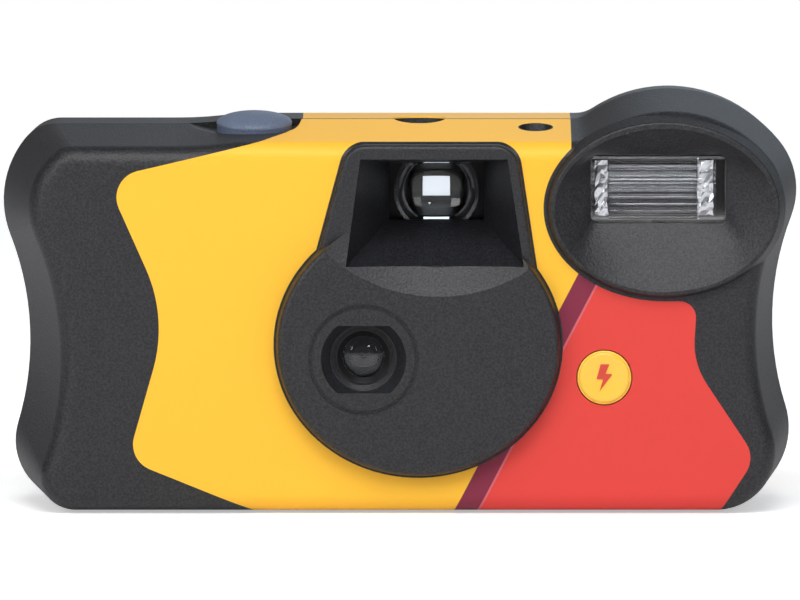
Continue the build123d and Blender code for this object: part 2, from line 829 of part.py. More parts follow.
with BuildPart() as rear_cover:
    add(cover_body(rear_depth, rear_side_inset, rear_top_inset, rear_side_inset))
    add(rear_hollow, mode=Mode.SUBTRACT)
    add(rear_lip.part)
    for row in range(pressure_ribs):
        rib_z = axis_z + (row - (pressure_ribs - 1) / 2) * gate_height / (pressure_ribs - 1)
        block((lens_x - gate_width / 2, lens_x + gate_width / 2),
              (film_y + film_thick + run_gap, rear_wall_y + wall / 2),
              (rib_z - pressure_rib / 2, rib_z + pressure_rib / 2))
    post(cassette_x, cassette_y, (thumbwheel_top_z + run_gap, left_top_height - wall / 2),
         thumbwheel_boss_r)
    post(cassette_x, cassette_y, (0, thumbwheel_top_z + thumbwheel_pin + run_gap),
         thumbwheel_pin_r + pin_gap,
         mode=Mode.SUBTRACT)
    post(cassette_x, cassette_y, (thumbwheel_low_z - run_gap, thumbwheel_top_z + run_gap),
         thumbwheel_r + run_gap, mode=Mode.SUBTRACT)
    post(counter_x, counter_y, (under_top_z - wall, counter_top_z + fit_gap), counter_r + run_gap,
         mode=Mode.SUBTRACT)
    post(counter_hole_x, counter_hole_y, (counter_top_z - counter_disc, top_height + overrun),
         counter_hole_r,
         mode=Mode.SUBTRACT)
    loft([rect_face(rear_wall_y, finder_x, finder_z, eyepiece_width, eyepiece_height),
          rect_face(rear_depth, finder_x, finder_z, eyepiece_width + 2 * eyepiece_bevel,
                    eyepiece_height + 2 * eyepiece_bevel)], ruled=True, mode=Mode.SUBTRACT)
    add(door_space.part, mode=Mode.SUBTRACT)
    add(label_recess.part, mode=Mode.SUBTRACT)
rear_cover.part.label = "rear_cover"
export_step(rear_cover.part, "parts/rear_cover.step")

# Film door: the piece of the underside below the film cassette, hinged at its inner edge
with BuildPart() as film_door:
    add(front_outside.part)
    add(cover_body(rear_depth, rear_side_inset, rear_top_inset, rear_side_inset))
    block((door_left_x, door_right_x), (door_front_y, door_back_y), (-overrun, door_rise),
          mode=Mode.INTERSECT)
    add(front_hollow, mode=Mode.SUBTRACT)
    add(rear_hollow, mode=Mode.SUBTRACT)
    block((left_foot_r - left_foot_reach, door_right_x), (door_front_y, door_back_y),
          (door_thick, door_rise),
          mode=Mode.SUBTRACT)
    post(cassette_x, cassette_y, (cassette_low_z - run_gap, door_rise + overrun), cassette_r + run_gap,
         mode=Mode.SUBTRACT)
    block((pip_x - pip_width / 2, pip_x + pip_width / 2), (pip_y - pip_width / 2, pip_y + pip_width / 2),
          (-pip_height, door_thick / 2))
film_door.part.label = "film_door"
export_step(film_door.part, "parts/film_door.step")


# Shutter button: a domed oval cap with a retaining flange and a stem
with BuildPart() as shutter_button:
    extrude(oval_face(pad_low_z - run_gap - button_flange_thick, button_x, button_y,
                      button_rx + button_flange,
                      button_ry + button_flange), amount=button_flange_thick)
    extrude(oval_face(pad_low_z - run_gap - button_flange_thick, button_x, button_y, button_rx, button_ry),
            amount=button_top_z - pad_low_z + run_gap + button_flange_thick)
    cap_edges = shutter_button.edges().group_by(Axis.Z)[-1]
    fillet(cap_edges, button_dome)
    post(button_x, button_y, (lever_z + lever_thick + button_travel + fit_gap, pad_low_z), button_stem_r)
shutter_button.part.label = "shutter_button"
export_step(shutter_button.part, "parts/shutter_button.step")

# Flash charge button: a round push disc with a flange behind the cover and a stem for the switch
charge_face_y = -front_depth - charge_proud
charge_flange_y = front_wall_y + charge_guide + run_gap
with BuildPart() as flash_button:
    barrel(charge_x, charge_z, (charge_face_y, charge_flange_y), charge_r)
    barrel(charge_x, charge_z, (charge_flange_y, charge_flange_y + charge_flange_thick),
           charge_r + charge_flange)
    fillet(flash_button.edges().group_by(Axis.Y)[0], charge_proud)
    barrel(charge_x, charge_z, (charge_flange_y, charge_stem_y), charge_stem_r)
flash_button.part.label = "flash_button"
export_step(flash_button.part, "parts/flash_button.step")

# Thumbwheel: a ribbed rim on a web, with a key below for the cassette spool and a pin above
with BuildPart() as thumbwheel:
    post(cassette_x, cassette_y, (thumbwheel_low_z, thumbwheel_top_z), thumbwheel_r)
    post(cassette_x, cassette_y, (thumbwheel_low_z + thumbwheel_web, thumbwheel_top_z),
         thumbwheel_r - thumbwheel_rim, mode=Mode.SUBTRACT)
    with Locations((cassette_x, cassette_y, (thumbwheel_low_z + thumbwheel_top_z) / 2)):
        with PolarLocations(thumbwheel_r + thumbwheel_rib_r / 2, thumbwheel_ribs):
            Cylinder(thumbwheel_rib_r, thumbwheel_height, mode=Mode.SUBTRACT)
    post(cassette_x, cassette_y, (thumbwheel_low_z, thumbwheel_top_z), thumbwheel_hub_r)
    post(cassette_x, cassette_y, (thumbwheel_top_z, thumbwheel_top_z + thumbwheel_pin), thumbwheel_pin_r)
    key_reach = spool_bore_r - run_gap
    block((cassette_x - key_reach, cassette_x + key_reach),
          (cassette_y - thumbwheel_key / 2, cassette_y + thumbwheel_key / 2),
          (spool_top_z - key_depth, thumbwheel_low_z))
thumbwheel.part.label = "thumbwheel"
export_step(thumbwheel.part, "parts/thumbwheel.step")

# Film cassette: a sheet-metal shell with a light trap, two end caps and the spool
cassette_top_z = cassette_low_z + cassette_length
shell_r = cassette_r - cassette_wall - fit_gap
trap_y = (film_y - light_trap_depth / 2, film_y + light_trap_depth / 2)
with BuildPart() as cassette_shell:
    post(cassette_x, cassette_y, (cassette_low_z + cassette_wall, cassette_top_z - cassette_wall), shell_r)
    block((cassette_x, cassette_x + light_trap_reach), trap_y,
          (cassette_low_z + cap_skirt, cassette_top_z - cap_skirt))
    post(cassette_x, cassette_y, (0, cassette_top_z), shell_r - cassette_wall, mode=Mode.SUBTRACT)
    block((cassette_x, cassette_x + light_trap_reach + overrun),
          (film_y + film_thick / 2 - light_trap_slot / 2, film_y + film_thick / 2 + light_trap_slot / 2),
          (cassette_low_z + cap_skirt + cassette_wall, cassette_top_z - cap_skirt - cassette_wall),
          mode=Mode.SUBTRACT)
cassette_shell.part.label = "cassette_shell"
export_step(cassette_shell.part, "parts/cassette_shell.step")

cap_ends = {"cassette_bottom_cap": (cassette_low_z, 1), "cassette_top_cap": (cassette_top_z, -1)}
for cap_name, (cap_z, inward) in cap_ends.items():
    with BuildPart() as cassette_cap:
        post(cassette_x, cassette_y, (cap_z, cap_z + inward * cap_skirt), cassette_r)
        post(cassette_x, cassette_y, (cap_z + inward * cassette_wall, cap_z + inward * cap_skirt),
             cassette_r - cassette_wall, mode=Mode.SUBTRACT)
        post(cassette_x, cassette_y, (cap_z, cap_z + inward * cap_skirt), spool_r + pin_gap,
             mode=Mode.SUBTRACT)
        block((cassette_x, cassette_x + cassette_r), (trap_y[0] - fit_gap, cassette_y + cassette_r),
              (cap_z + inward * cap_skirt / 2, cap_z + inward * cap_skirt), mode=Mode.SUBTRACT)
    cassette_cap.part.label = cap_name
    export_step(cassette_cap.part, f"parts/{cap_name}.step")

with BuildPart() as cassette_spool:
    post(cassette_x, cassette_y, (cassette_low_z + cassette_wall, spool_top_z), spool_r)
    film_low_z = axis_z - film_width / 2
    film_top_z = axis_z + film_width / 2
    post(cassette_x, cassette_y, (film_low_z, film_top_z), wound_r)
    post(cassette_x, cassette_y, (spool_top_z - key_depth - run_gap, spool_top_z), spool_bore_r,
         mode=Mode.SUBTRACT)
    post(cassette_x, cassette_y, (cassette_low_z, cassette_low_z + key_depth), spool_bore_r,
         mode=Mode.SUBTRACT)
    for side in (-1, 1):
        block((cassette_x - spool_web, cassette_x + spool_web),
              (cassette_y + side * (thumbwheel_key / 2 + fit_gap), cassette_y + side * spool_bore_r),
              (spool_top_z - key_depth - run_gap, spool_top_z - key_depth / 2))
cassette_spool.part.label = "cassette_spool"
export_step(cassette_spool.part, "parts/cassette_spool.step")

# Film: the roll still to be exposed, its spool, and the strip that crosses the gate to the cassette
with BuildPart() as film_roll:
    post(roll_x, roll_y, (film_low_z, film_top_z), roll_r)
    post(roll_x, roll_y, (film_low_z, film_top_z), roll_core_r, mode=Mode.SUBTRACT)
film_roll.part.label = "film_roll"
export_step(film_roll.part, "parts/film_roll.step")

spool_low_z = chamber_low_z + chamber_wall + run_gap
spool_high_z = chamber_top_z - run_gap
with BuildPart() as supply_spool:
    post(roll_x, roll_y, (spool_low_z, spool_high_z), roll_core_r)
    for flange_z in ((spool_low_z, film_low_z - pin_gap), (film_top_z + pin_gap, spool_high_z)):
        post(roll_x, roll_y, flange_z, roll_core_r + roll_core_wall)
    post(roll_x, roll_y, (spool_low_z, spool_high_z), pivot_r + pin_gap, mode=Mode.SUBTRACT)
supply_spool.part.label = "supply_spool"
export_step(supply_spool.part, "parts/supply_spool.step")

gate_left_x = lens_x - gate_width / 2
gate_right_x = lens_x + gate_width / 2
strip_start = Vector(cassette_x + light_trap_reach / 2, film_y)
strip_turn = Vector(gate_right_x, film_y)
roll_centre = Vector(roll_x, roll_y)
strip_reach = sqrt((roll_centre - strip_turn).length ** 2 - roll_r**2)
strip_touch = crossing(strip_turn, strip_reach, roll_centre, roll_r, 1)
strip_end = strip_turn + (strip_touch - strip_turn) * (1 - fit_gap / strip_reach)
with BuildPart() as film_strip:
    with BuildSketch(Plane.XY.offset(film_low_z)) as strip_section:
        with BuildLine():
            strip_front = Polyline(strip_start, strip_turn, strip_end)
            offset(strip_front, amount=film_thick, side=Side.LEFT)
        make_face()
    extrude(amount=film_width)
    hole_count = int(gate_width // perforation_pitch) + 1
    for edge_z in (film_low_z + perforation_margin, film_top_z - perforation_margin - perforation_height):
        for number in range(hole_count):
            hole_x = sprocket_x + (number - hole_count // 2 - 1) * perforation_pitch
            block((hole_x - perforation_width / 2, hole_x + perforation_width / 2),
                  (film_y - film_thick, film_y + 2 * film_thick), (edge_z, edge_z + perforation_height),
                  mode=Mode.SUBTRACT)
film_strip.part.label = "film_strip"
export_step(film_strip.part, "parts/film_strip.step")

# Sprocket: eight teeth for the perforations, the shaft, the shutter cam and the counter's finger
sprocket_y = film_y - pin_gap - sprocket_r
sprocket_z = axis_z + film_width / 2 - perforation_margin - perforation_height / 2
with BuildPart() as sprocket:
    post(sprocket_x, sprocket_y, (sprocket_z - sprocket_thick / 2, sprocket_z + sprocket_thick / 2),
         sprocket_r)
    with Locations((sprocket_x, sprocket_y, sprocket_z)):
        with PolarLocations(sprocket_r, sprocket_teeth, start_angle=90):
            Box(2 * tooth_rise, tooth_width, sprocket_thick)
    post(sprocket_x, sprocket_y, (sprocket_z, finger_low_z + finger_thick), sprocket_shaft_r)
    post(sprocket_x, sprocket_y, (cam_low_z, cam_low_z + cam_thick), cam_r)
    post(sprocket_x - cam_r, sprocket_y, (cam_low_z, cam_low_z + cam_thick), cam_notch_r,
         mode=Mode.SUBTRACT)
    post(sprocket_x, sprocket_y, (finger_low_z, finger_low_z + finger_thick), finger_hub_r)
    block((sprocket_x, sprocket_x + finger_r),
          (sprocket_y - sprocket_shaft_r / 2, sprocket_y + sprocket_shaft_r / 2),
          (finger_low_z, finger_low_z + finger_thick))
sprocket.part.label = "sprocket"
export_step(sprocket.part, "parts/sprocket.step")

# Counter wheel: a number disc above a toothed wheel, on a pin of the finder housing
counter_mid_z = counter_top_z - counter_disc
counter_low_z = counter_mid_z - counter_gear
with BuildPart() as counter_wheel:
    post(counter_x, counter_y, (counter_low_z, counter_top_z), counter_r)
    with Locations((counter_x, counter_y, (counter_low_z + counter_mid_z) / 2)):
        with PolarLocations(counter_r, counter_teeth):
            Cylinder(counter_tooth_r, counter_gear, mode=Mode.SUBTRACT)
    post(counter_x, counter_y, (counter_low_z, counter_top_z), counter_pin_r + pin_gap, mode=Mode.SUBTRACT)
counter_wheel.part.label = "counter_wheel"
export_step(counter_wheel.part, "parts/counter_wheel.step")

# Chassis: the dark box, the film gate, the cassette and roll chambers and the mechanism deck
gate_front_y = film_y - chamber_wall - pin_gap
gate_back_y = film_y - pin_gap
flange_y = shutter_back_y
tube_low_z = deck_z + deck_thick
tube_left_x = finder_x - finder_width / 2 - finder_wall
tube_right_x = finder_x + finder_width / 2 + finder_wall
tube_top_z = finder_z + finder_height / 2 + finder_wall
tube_front_y = funnel_end_y + run_gap
with BuildPart() as chassis:
    block((cassette_x + cassette_r, roll_x - roll_r), (gate_front_y, gate_back_y),
          (chamber_low_z, deck_z + deck_thick))
    loft([rect_face(flange_y, lens_x, axis_z, 2 * box_front, 2 * box_front),
          rect_face(gate_front_y, lens_x, axis_z, gate_width + 2 * chamber_wall,
                    gate_height + 2 * chamber_wall)],
         ruled=True)
    block((lens_x - shutter_plate_width / 2, lens_x + shutter_plate_width / 2),
          (flange_y, flange_y + chamber_wall),
          (axis_z - shutter_plate_height / 2, axis_z + shutter_plate_height / 2))
    block((cassette_x + cassette_r, roll_x - roll_r), (deck_front_y, gate_back_y),
          (deck_z, deck_z + deck_thick))
    for lever_x, lever_y in ((metering_x, metering_y), (driver_x, driver_y)):
        post(lever_x, lever_y, (deck_z + deck_thick / 2, lever_z + lever_thick + spring_space),
             lever_pin_r)
    post(cassette_x, cassette_y, (door_rise + 4 * run_gap, cassette_top_z + run_gap + chamber_wall),
         cassette_r + run_gap + chamber_wall)
    post(roll_x, roll_y, (chamber_low_z, chamber_top_z + chamber_wall),
         roll_r + 2 * run_gap + chamber_wall)
    block((cassette_x - cassette_r - 2 * chamber_wall, cassette_x + cassette_r / 2),
          (chamber_open_y, rear_depth), (0, top_height), mode=Mode.SUBTRACT)
    block((roll_x - roll_r * chamber_lip_share, roll_x + roll_r + 2 * chamber_wall),
          (chamber_open_y, rear_depth),
          (0, top_height), mode=Mode.SUBTRACT)
    post(cassette_x, cassette_y, (0, cassette_top_z + run_gap), cassette_r + run_gap, mode=Mode.SUBTRACT)
    post(cassette_x, cassette_y, (0, top_height), spool_r + run_gap, mode=Mode.SUBTRACT)
    post(roll_x, roll_y, (chamber_low_z + chamber_wall, chamber_top_z), roll_r + 2 * run_gap,
         mode=Mode.SUBTRACT)
    block((cassette_x, gate_left_x), (trap_y[0] - run_gap, rear_wall_y),
          (cassette_low_z, cassette_top_z), mode=Mode.SUBTRACT)
    for pivot_z in ((chamber_low_z, film_low_z), (film_top_z, chamber_top_z + chamber_wall)):
        post(roll_x, roll_y, pivot_z, pivot_r)
    loft([rect_face(flange_y, lens_x, axis_z, 2 * (box_front - chamber_wall),
                    2 * (box_front - chamber_wall)),
          rect_face(gate_front_y, lens_x, axis_z, gate_width,
                    gate_height)], ruled=True, mode=Mode.SUBTRACT)
    block((gate_left_x, gate_right_x), (gate_front_y, gate_back_y + overrun),
          (axis_z - gate_height / 2, axis_z + gate_height / 2), mode=Mode.SUBTRACT)
    post(sprocket_x, sprocket_y,
         (sprocket_z - sprocket_thick / 2 - run_gap, sprocket_z + sprocket_thick / 2 + run_gap),
         sprocket_r + tooth_rise + run_gap, mode=Mode.SUBTRACT)
    post(sprocket_x, sprocket_y, (deck_z, deck_z + deck_thick), sprocket_shaft_r + pin_gap,
         mode=Mode.SUBTRACT)
    block((tube_left_x - run_gap, tube_right_x + run_gap), (tube_front_y, gate_back_y),
          (tube_low_z, top_height),
          mode=Mode.SUBTRACT)
chassis.part.label = "chassis"
export_step(chassis.part, "parts/chassis.step")

# Finder housing: the tube that carries both finder lenses, and the pin of the counter wheel
with BuildPart() as finder_housing:
    block((tube_left_x, tube_right_x), (tube_front_y, finder_end_y), (tube_low_z, tube_top_z))
    block((tube_left_x + finder_wall, tube_right_x - finder_wall), (tube_front_y, finder_end_y),
          (finder_z - finder_height / 2, finder_z + finder_height / 2), mode=Mode.SUBTRACT)
    block((tube_left_x + finder_wall, tube_right_x - finder_wall),
          (front_lens_seat_y, front_lens_seat_y + lens_ledge),
          (finder_z - finder_height / 2, finder_z + finder_height / 2))
    barrel(finder_x, finder_z, (front_lens_seat_y, front_lens_seat_y + lens_ledge),
           front_lens_r - lens_ledge,
           mode=Mode.SUBTRACT)
    block((tube_left_x + finder_wall, tube_right_x - finder_wall), (rear_lens_seat_y, finder_end_y),
          (finder_z - finder_height / 2, finder_z + finder_height / 2))
    block((finder_x - rear_lens_width / 2, finder_x + rear_lens_width / 2),
          (rear_lens_seat_y + lens_ledge, finder_end_y),
          (finder_z - rear_lens_height / 2, finder_z + rear_lens_height / 2), mode=Mode.SUBTRACT)
    block((finder_x - rear_lens_width / 2 + lens_ledge, finder_x + rear_lens_width / 2 - lens_ledge),
          (rear_lens_seat_y, finder_end_y),
          (finder_z - rear_lens_height / 2 + lens_ledge, finder_z + rear_lens_height / 2 - lens_ledge),
          mode=Mode.SUBTRACT)
    post(counter_x, counter_y, (tube_top_z, counter_low_z - run_gap), 2 * counter_pin_r)
    post(counter_x, counter_y, (tube_top_z, counter_mid_z + counter_disc / 2), counter_pin_r)
finder_housing.part.label = "finder_housing"
export_step(finder_housing.part, "parts/finder_housing.step")

# Finder lenses: a round front lens cropped by the housing, and a small rear lens
with BuildPart() as finder_front_lens:
    barrel(finder_x, finder_z, (front_lens_seat_y - front_lens_rim, front_lens_seat_y - pin_gap),
           front_lens_r)
    block((finder_x - front_lens_r, finder_x + front_lens_r),
          (front_lens_seat_y - front_lens_rim, front_lens_seat_y),
          (finder_z - finder_height / 2 + pin_gap,
           finder_z + finder_height / 2 - pin_gap), mode=Mode.INTERSECT)
    hollow_end_y = front_lens_seat_y - front_lens_rim * (1 - front_lens_hollow_share)
    with Locations((finder_x, hollow_end_y - front_lens_hollow_r, finder_z)):
        Sphere(front_lens_hollow_r, mode=Mode.SUBTRACT)
finder_front_lens.part.label = "finder_front_lens"
export_step(finder_front_lens.part, "parts/finder_front_lens.step")

rear_lens_y = rear_lens_seat_y + lens_ledge + pin_gap
with BuildPart() as finder_rear_lens:
    block((finder_x - rear_lens_width / 2 + pin_gap, finder_x + rear_lens_width / 2 - pin_gap),
          (rear_lens_y, rear_lens_y + rear_lens_thick),
          (finder_z - rear_lens_height / 2 + pin_gap, finder_z + rear_lens_height / 2 - pin_gap))
    with Locations((finder_x, rear_lens_y + rear_lens_thick - rear_lens_bulge_r, finder_z)):
        Sphere(rear_lens_bulge_r, mode=Mode.INTERSECT)
finder_rear_lens.part.label = "finder_rear_lens"
export_step(finder_rear_lens.part, "parts/finder_rear_lens.step")

# Taking lens with its flange, and the retainer ring in front of it
retainer_y = cone_end_y + fit_gap
lens_y = retainer_y + retainer_thick
with BuildPart() as lens_retainer:
    with BuildSketch(Plane.YZ.offset(lens_x)) as ring_section:
        with BuildLine():
            Polyline((retainer_y, axis_z + retainer_mouth_r), (retainer_y, axis_z + retainer_r),
                     (lens_y, axis_z + retainer_r), (lens_y, axis_z + retainer_bore_r),
                     (lens_y - retainer_thick / 2, axis_z + retainer_bore_r), close=True)
        make_face()
    revolve(axis=Axis((lens_x, 0, axis_z), (0, 1, 0)))
lens_retainer.part.label = "lens_retainer"
export_step(lens_retainer.part, "parts/lens_retainer.step")

with BuildPart() as taking_lens:
    dish_y = lens_y + lens_flange
    with BuildSketch(Plane.YZ.offset(lens_x)) as lens_section:
        front_tip = (lens_y - lens_front_r + sqrt(lens_front_r**2 - lens_bulge_edge_r**2), axis_z)
        back_dip = lens_back_r - sqrt(lens_back_r**2 - lens_bulge_edge_r**2)
        with BuildLine():
            RadiusArc(front_tip, (lens_y, axis_z + lens_bulge_edge_r), lens_front_r)
            Polyline((lens_y, axis_z + lens_bulge_edge_r), (lens_y, axis_z + lens_flange_r),
                     (dish_y, axis_z + lens_flange_r), (dish_y, axis_z + lens_bulge_edge_r))
            RadiusArc((dish_y, axis_z + lens_bulge_edge_r), (dish_y - back_dip, axis_z), -lens_back_r)
            Line((dish_y - back_dip, axis_z), front_tip)
        make_face()
    revolve(axis=Axis((lens_x, 0, axis_z), (0, 1, 0)))
taking_lens.part.label = "taking_lens"
export_step(taking_lens.part, "parts/taking_lens.step")

# Shutter plate: the aperture, the collar of the lens and the pin of the blade
plate_y = lens_y + lens_flange
plate_back_y = plate_y + shutter_plate_thick
blade_y = plate_back_y + (shutter_gap - blade_thick) / 3
with BuildPart() as shutter_plate:
    block((lens_x - shutter_plate_width / 2, lens_x + shutter_plate_width / 2), (plate_y, plate_back_y),
          (axis_z - shutter_plate_height / 2, axis_z + shutter_plate_height / 2))
    for side in (-1, 1):
        edge_x = lens_x + side * shutter_plate_width / 2
        block((edge_x, edge_x - side * chamber_wall), (plate_back_y, shutter_back_y),
              (axis_z - shutter_plate_height / 2, axis_z + shutter_plate_height / 2))
    barrel(lens_x, axis_z, (retainer_y + retainer_thick / 2, plate_y), retainer_r + pin_gap + lamp_collar)
    barrel(lens_x, axis_z, (retainer_y, plate_y), retainer_r + pin_gap, mode=Mode.SUBTRACT)
    barrel(lens_x, axis_z, (plate_y, plate_back_y), aperture_r, mode=Mode.SUBTRACT)
    barrel(blade_pivot_x, blade_pivot_z, (plate_back_y, shutter_back_y - run_gap), blade_pin_r)
shutter_plate.part.label = "shutter_plate"
export_step(shutter_plate.part, "parts/shutter_plate.step")

# Shutter blade: a thin disc over the aperture, a hub on the pin and the tail that the driver strikes
with BuildPart() as shutter_blade:
    with BuildSketch(plane_at(blade_y)) as blade_outline:
        with Locations((lens_x, axis_z)):
            Circle(blade_r)
        with Locations((blade_pivot_x, blade_pivot_z)):
            Circle(blade_hub_r)
        with BuildLine():
            Polyline((lens_x - blade_arm, axis_z), (lens_x + blade_arm / 2, axis_z + blade_arm / 2),
                     (blade_pivot_x + blade_arm / 2, blade_pivot_z + blade_arm / 2),
                     (blade_pivot_x - blade_arm / 2, blade_pivot_z - blade_arm), close=True)
        make_face()
        with Locations((blade_pivot_x, (blade_pivot_z + blade_tail_z) / 2)):
            Rectangle(blade_arm, blade_tail_z - blade_pivot_z)
        with Locations((blade_pivot_x, blade_pivot_z)):
            Circle(blade_pin_r + pin_gap, mode=Mode.SUBTRACT)
    extrude(amount=-blade_thick)
shutter_blade.part.label = "shutter_blade"
export_step(shutter_blade.part, "parts/shutter_blade.step")


def lever_outline(pivot, tips, tip_r):
    """A lever's hub with straight arms to round tips, drawn level."""
    with BuildSketch(Plane.XY.offset(lever_z)) as outline:
        with Locations(Vector(*pivot)):
            Circle(lever_hub_r)
        for tip in tips:
            way = Vector(*tip) - Vector(*pivot)
            turn = degrees(atan2(way.Y, way.X))
            middle = Vector(*pivot) + way / 2
            with Locations(Location((middle.X, middle.Y, 0), (0, 0, turn))):
                Rectangle(way.length, lever_arm)
            with Locations(Vector(*tip)):
                Circle(tip_r)
        with Locations(Vector(*pivot)):
            Circle(lever_pin_r + pin_gap, mode=Mode.SUBTRACT)
    return outline.sketch


# Metering lever: one arm rides on the cam, the other waits below the shutter button
with BuildPart() as metering_lever:
    metering_tips = [(button_x, button_y), (sprocket_x - cam_r - lever_arm, sprocket_y)]
    extrude(lever_outline((metering_x, metering_y), metering_tips, lever_arm / 2), amount=lever_thick)
metering_lever.part.label = "metering_lever"
export_step(metering_lever.part, "parts/metering_lever.step")

# Driver lever: a sprung arm whose finger reaches down to the tail of the blade
finger_x = blade_pivot_x - blade_arm / 2 - run_gap - driver_finger / 2
finger_y = blade_y - blade_thick
with BuildPart() as driver_lever:
    extrude(lever_outline((driver_x, driver_y), [(finger_x, finger_y)], driver_finger / 2),
            amount=lever_thick)
    post(finger_x, finger_y, (driver_finger_low_z, lever_z), driver_finger / 2)
driver_lever.part.label = "driver_lever"
export_step(driver_lever.part, "parts/driver_lever.step")


def coil(centre, direction, turns):
    """A wound spring of round wire, rising from a centre along a direction."""
    with BuildLine() as path:
        Helix(spring_pitch, spring_pitch * turns, spring_r, center=centre, direction=direction)
    with BuildPart() as spring:
        with BuildSketch(Plane(origin=path.line @ 0, z_dir=path.line % 0)):
            Circle(spring_wire_r)
        sweep(path=path.line)
    return spring.part


spring_z = lever_z + lever_thick + spring_wire_r + pin_gap
with BuildPart() as metering_spring:
    add(coil((metering_x, metering_y, spring_z), (0, 0, 1), spring_turns))
metering_spring.part.label = "metering_spring"
export_step(metering_spring.part, "parts/metering_spring.step")

with BuildPart() as driver_spring:
    add(coil((driver_x, driver_y, spring_z), (0, 0, 1), spring_turns))
driver_spring.part.label = "driver_spring"
export_step(driver_spring.part, "parts/driver_spring.step")

with BuildPart() as shutter_spring:
    add(coil((blade_pivot_x, blade_y + blade_thick + spring_wire_r + pin_gap, blade_pivot_z), (0, 1, 0),
             1))
shutter_spring.part.label = "shutter_spring"
export_step(shutter_spring.part, "parts/shutter_spring.step")

# Flash window: a clear pane with lens ribs across its inside and a flange behind the bowl
pane_front_y = bowl_floor_y + pin_gap
flange_front_y = bowl_floor_y + bowl_wall + pin_gap
with BuildPart() as flash_window:
    extrude(window_face(pane_front_y, -fit_gap), amount=pane_front_y - flange_front_y)
    extrude(window_face(flange_front_y, window_flange - fit_gap), amount=-window_flange_thick)
    rib_step = window_height / window_ribs
    rib_length = window_width - 2 * window_corner_r
    for number in range(window_ribs - 1):
        rib_z = window_z + (number - (window_ribs - 2) / 2) * rib_step
        with Locations(Location((window_x, flange_front_y + window_flange_thick, rib_z), (0, 90, 0))):
            Cylinder(rib_step / 2, rib_length)
flash_window.part.label = "flash_window"
export_step(flash_window.part, "parts/flash_window.step")

# Flash reflector: a bent trough with two end walls, round the flash tube
reflector_y = flange_front_y + window_flange_thick + rib_step
reflector_half = reflector_height / 2
tube_y = reflector_y + reflector_depth / 2
with BuildPart() as flash_reflector:
    with BuildSketch(Plane.YZ.offset(window_x - reflector_width / 2)) as trough:
        with BuildLine():
            ThreePointArc((reflector_y, window_z - reflector_half),
                          (reflector_y + reflector_depth, window_z),
                          (reflector_y, window_z + reflector_half))
            Line((reflector_y, window_z + reflector_half), (reflector_y, window_z - reflector_half))
        make_face()
    extrude(amount=reflector_width)
    with BuildSketch(Plane.YZ.offset(window_x - reflector_width / 2 + reflector_wall)) as trough_inside:
        with BuildLine():
            ThreePointArc((reflector_y, window_z - reflector_half + reflector_wall),
                          (reflector_y + reflector_depth - reflector_wall, window_z),
                          (reflector_y, window_z + reflector_half - reflector_wall))
            Line((reflector_y, window_z + reflector_half - reflector_wall),
                 (reflector_y, window_z - reflector_half + reflector_wall))
        make_face()
    extrude(amount=reflector_width - 2 * reflector_wall, mode=Mode.SUBTRACT)
    with Locations(Location((window_x, tube_y, window_z), (0, 90, 0))):
        Cylinder(tube_r + pin_gap, reflector_width + overrun, mode=Mode.SUBTRACT)
flash_reflector.part.label = "flash_reflector"
export_step(flash_reflector.part, "parts/flash_reflector.step")

with BuildPart() as flash_tube:
    with Locations(Location((window_x, tube_y, window_z), (0, 90, 0))):
        Cylinder(tube_r, tube_length - 2 * tube_cap)
        Cylinder(tube_r / 3, tube_length)
flash_tube.part.label = "flash_tube"
export_step(flash_tube.part, "parts/flash_tube.step")

# Flash board with its larger parts: transformer, trigger coil, small parts, switch leaf and capacitor
board_front_y = board_back_y - board_thick
with BuildPart() as flash_board:
    block((board_left_x, board_right_x), (board_front_y, board_back_y), (board_low_z, board_top_z))
    block((board_left_x, board_notch_x), (board_front_y, board_back_y), (board_notch_z, board_top_z),
          mode=Mode.SUBTRACT)
flash_board.part.label = "flash_board"
export_step(flash_board.part, "parts/flash_board.step")

with BuildPart() as transformer:
    core_x = (board_left_x + fit_gap, board_left_x + transformer_width)
    core_y = (board_back_y, board_back_y + transformer_depth)
    core_z = (transformer_low_z, transformer_low_z + transformer_height)
    block(core_x, core_y, core_z)
    block((core_x[0] - overrun, core_x[1] + overrun), (core_y[0] + transformer_core, core_y[1] + overrun),
          (core_z[0] + transformer_core, core_z[1] - transformer_core), mode=Mode.SUBTRACT)
    with Locations((sum(core_x) / 2, sum(core_y) / 2, sum(core_z) / 2)):
        Cylinder(transformer_depth / 2 - fit_gap, transformer_height - transformer_core)
transformer.part.label = "transformer"
export_step(transformer.part, "parts/transformer.step")

with BuildPart() as trigger_coil:
    with Locations(Location((board_right_x - coil_length, board_front_y - coil_r,
                             board_top_z - 2 * coil_r), (0, 90, 0))):
        Cylinder(coil_r, coil_length * 2 / 3)
        Cylinder(coil_r * 2 / 3, coil_length)
    block((board_right_x - coil_length * 4 / 3, board_right_x - coil_length * 2 / 3),
          (board_front_y - coil_r, board_front_y), (board_top_z - 3 * coil_r, board_top_z - coil_r))
trigger_coil.part.label = "trigger_coil"
export_step(trigger_coil.part, "parts/trigger_coil.step")

with BuildPart() as board_parts:
    for part_x_share, part_z_share, part_width, part_height in board_part_shares:
        left_x = board_left_x + part_x_share * (board_right_x - board_left_x)
        low_z = board_low_z + part_z_share * (board_notch_z - board_low_z)
        block((left_x, left_x + part_width * coil_r), (board_front_y, board_front_y - coil_r),
              (low_z, low_z + part_height * coil_r))
board_parts.part.label = "board_parts"
export_step(board_parts.part, "parts/board_parts.step")

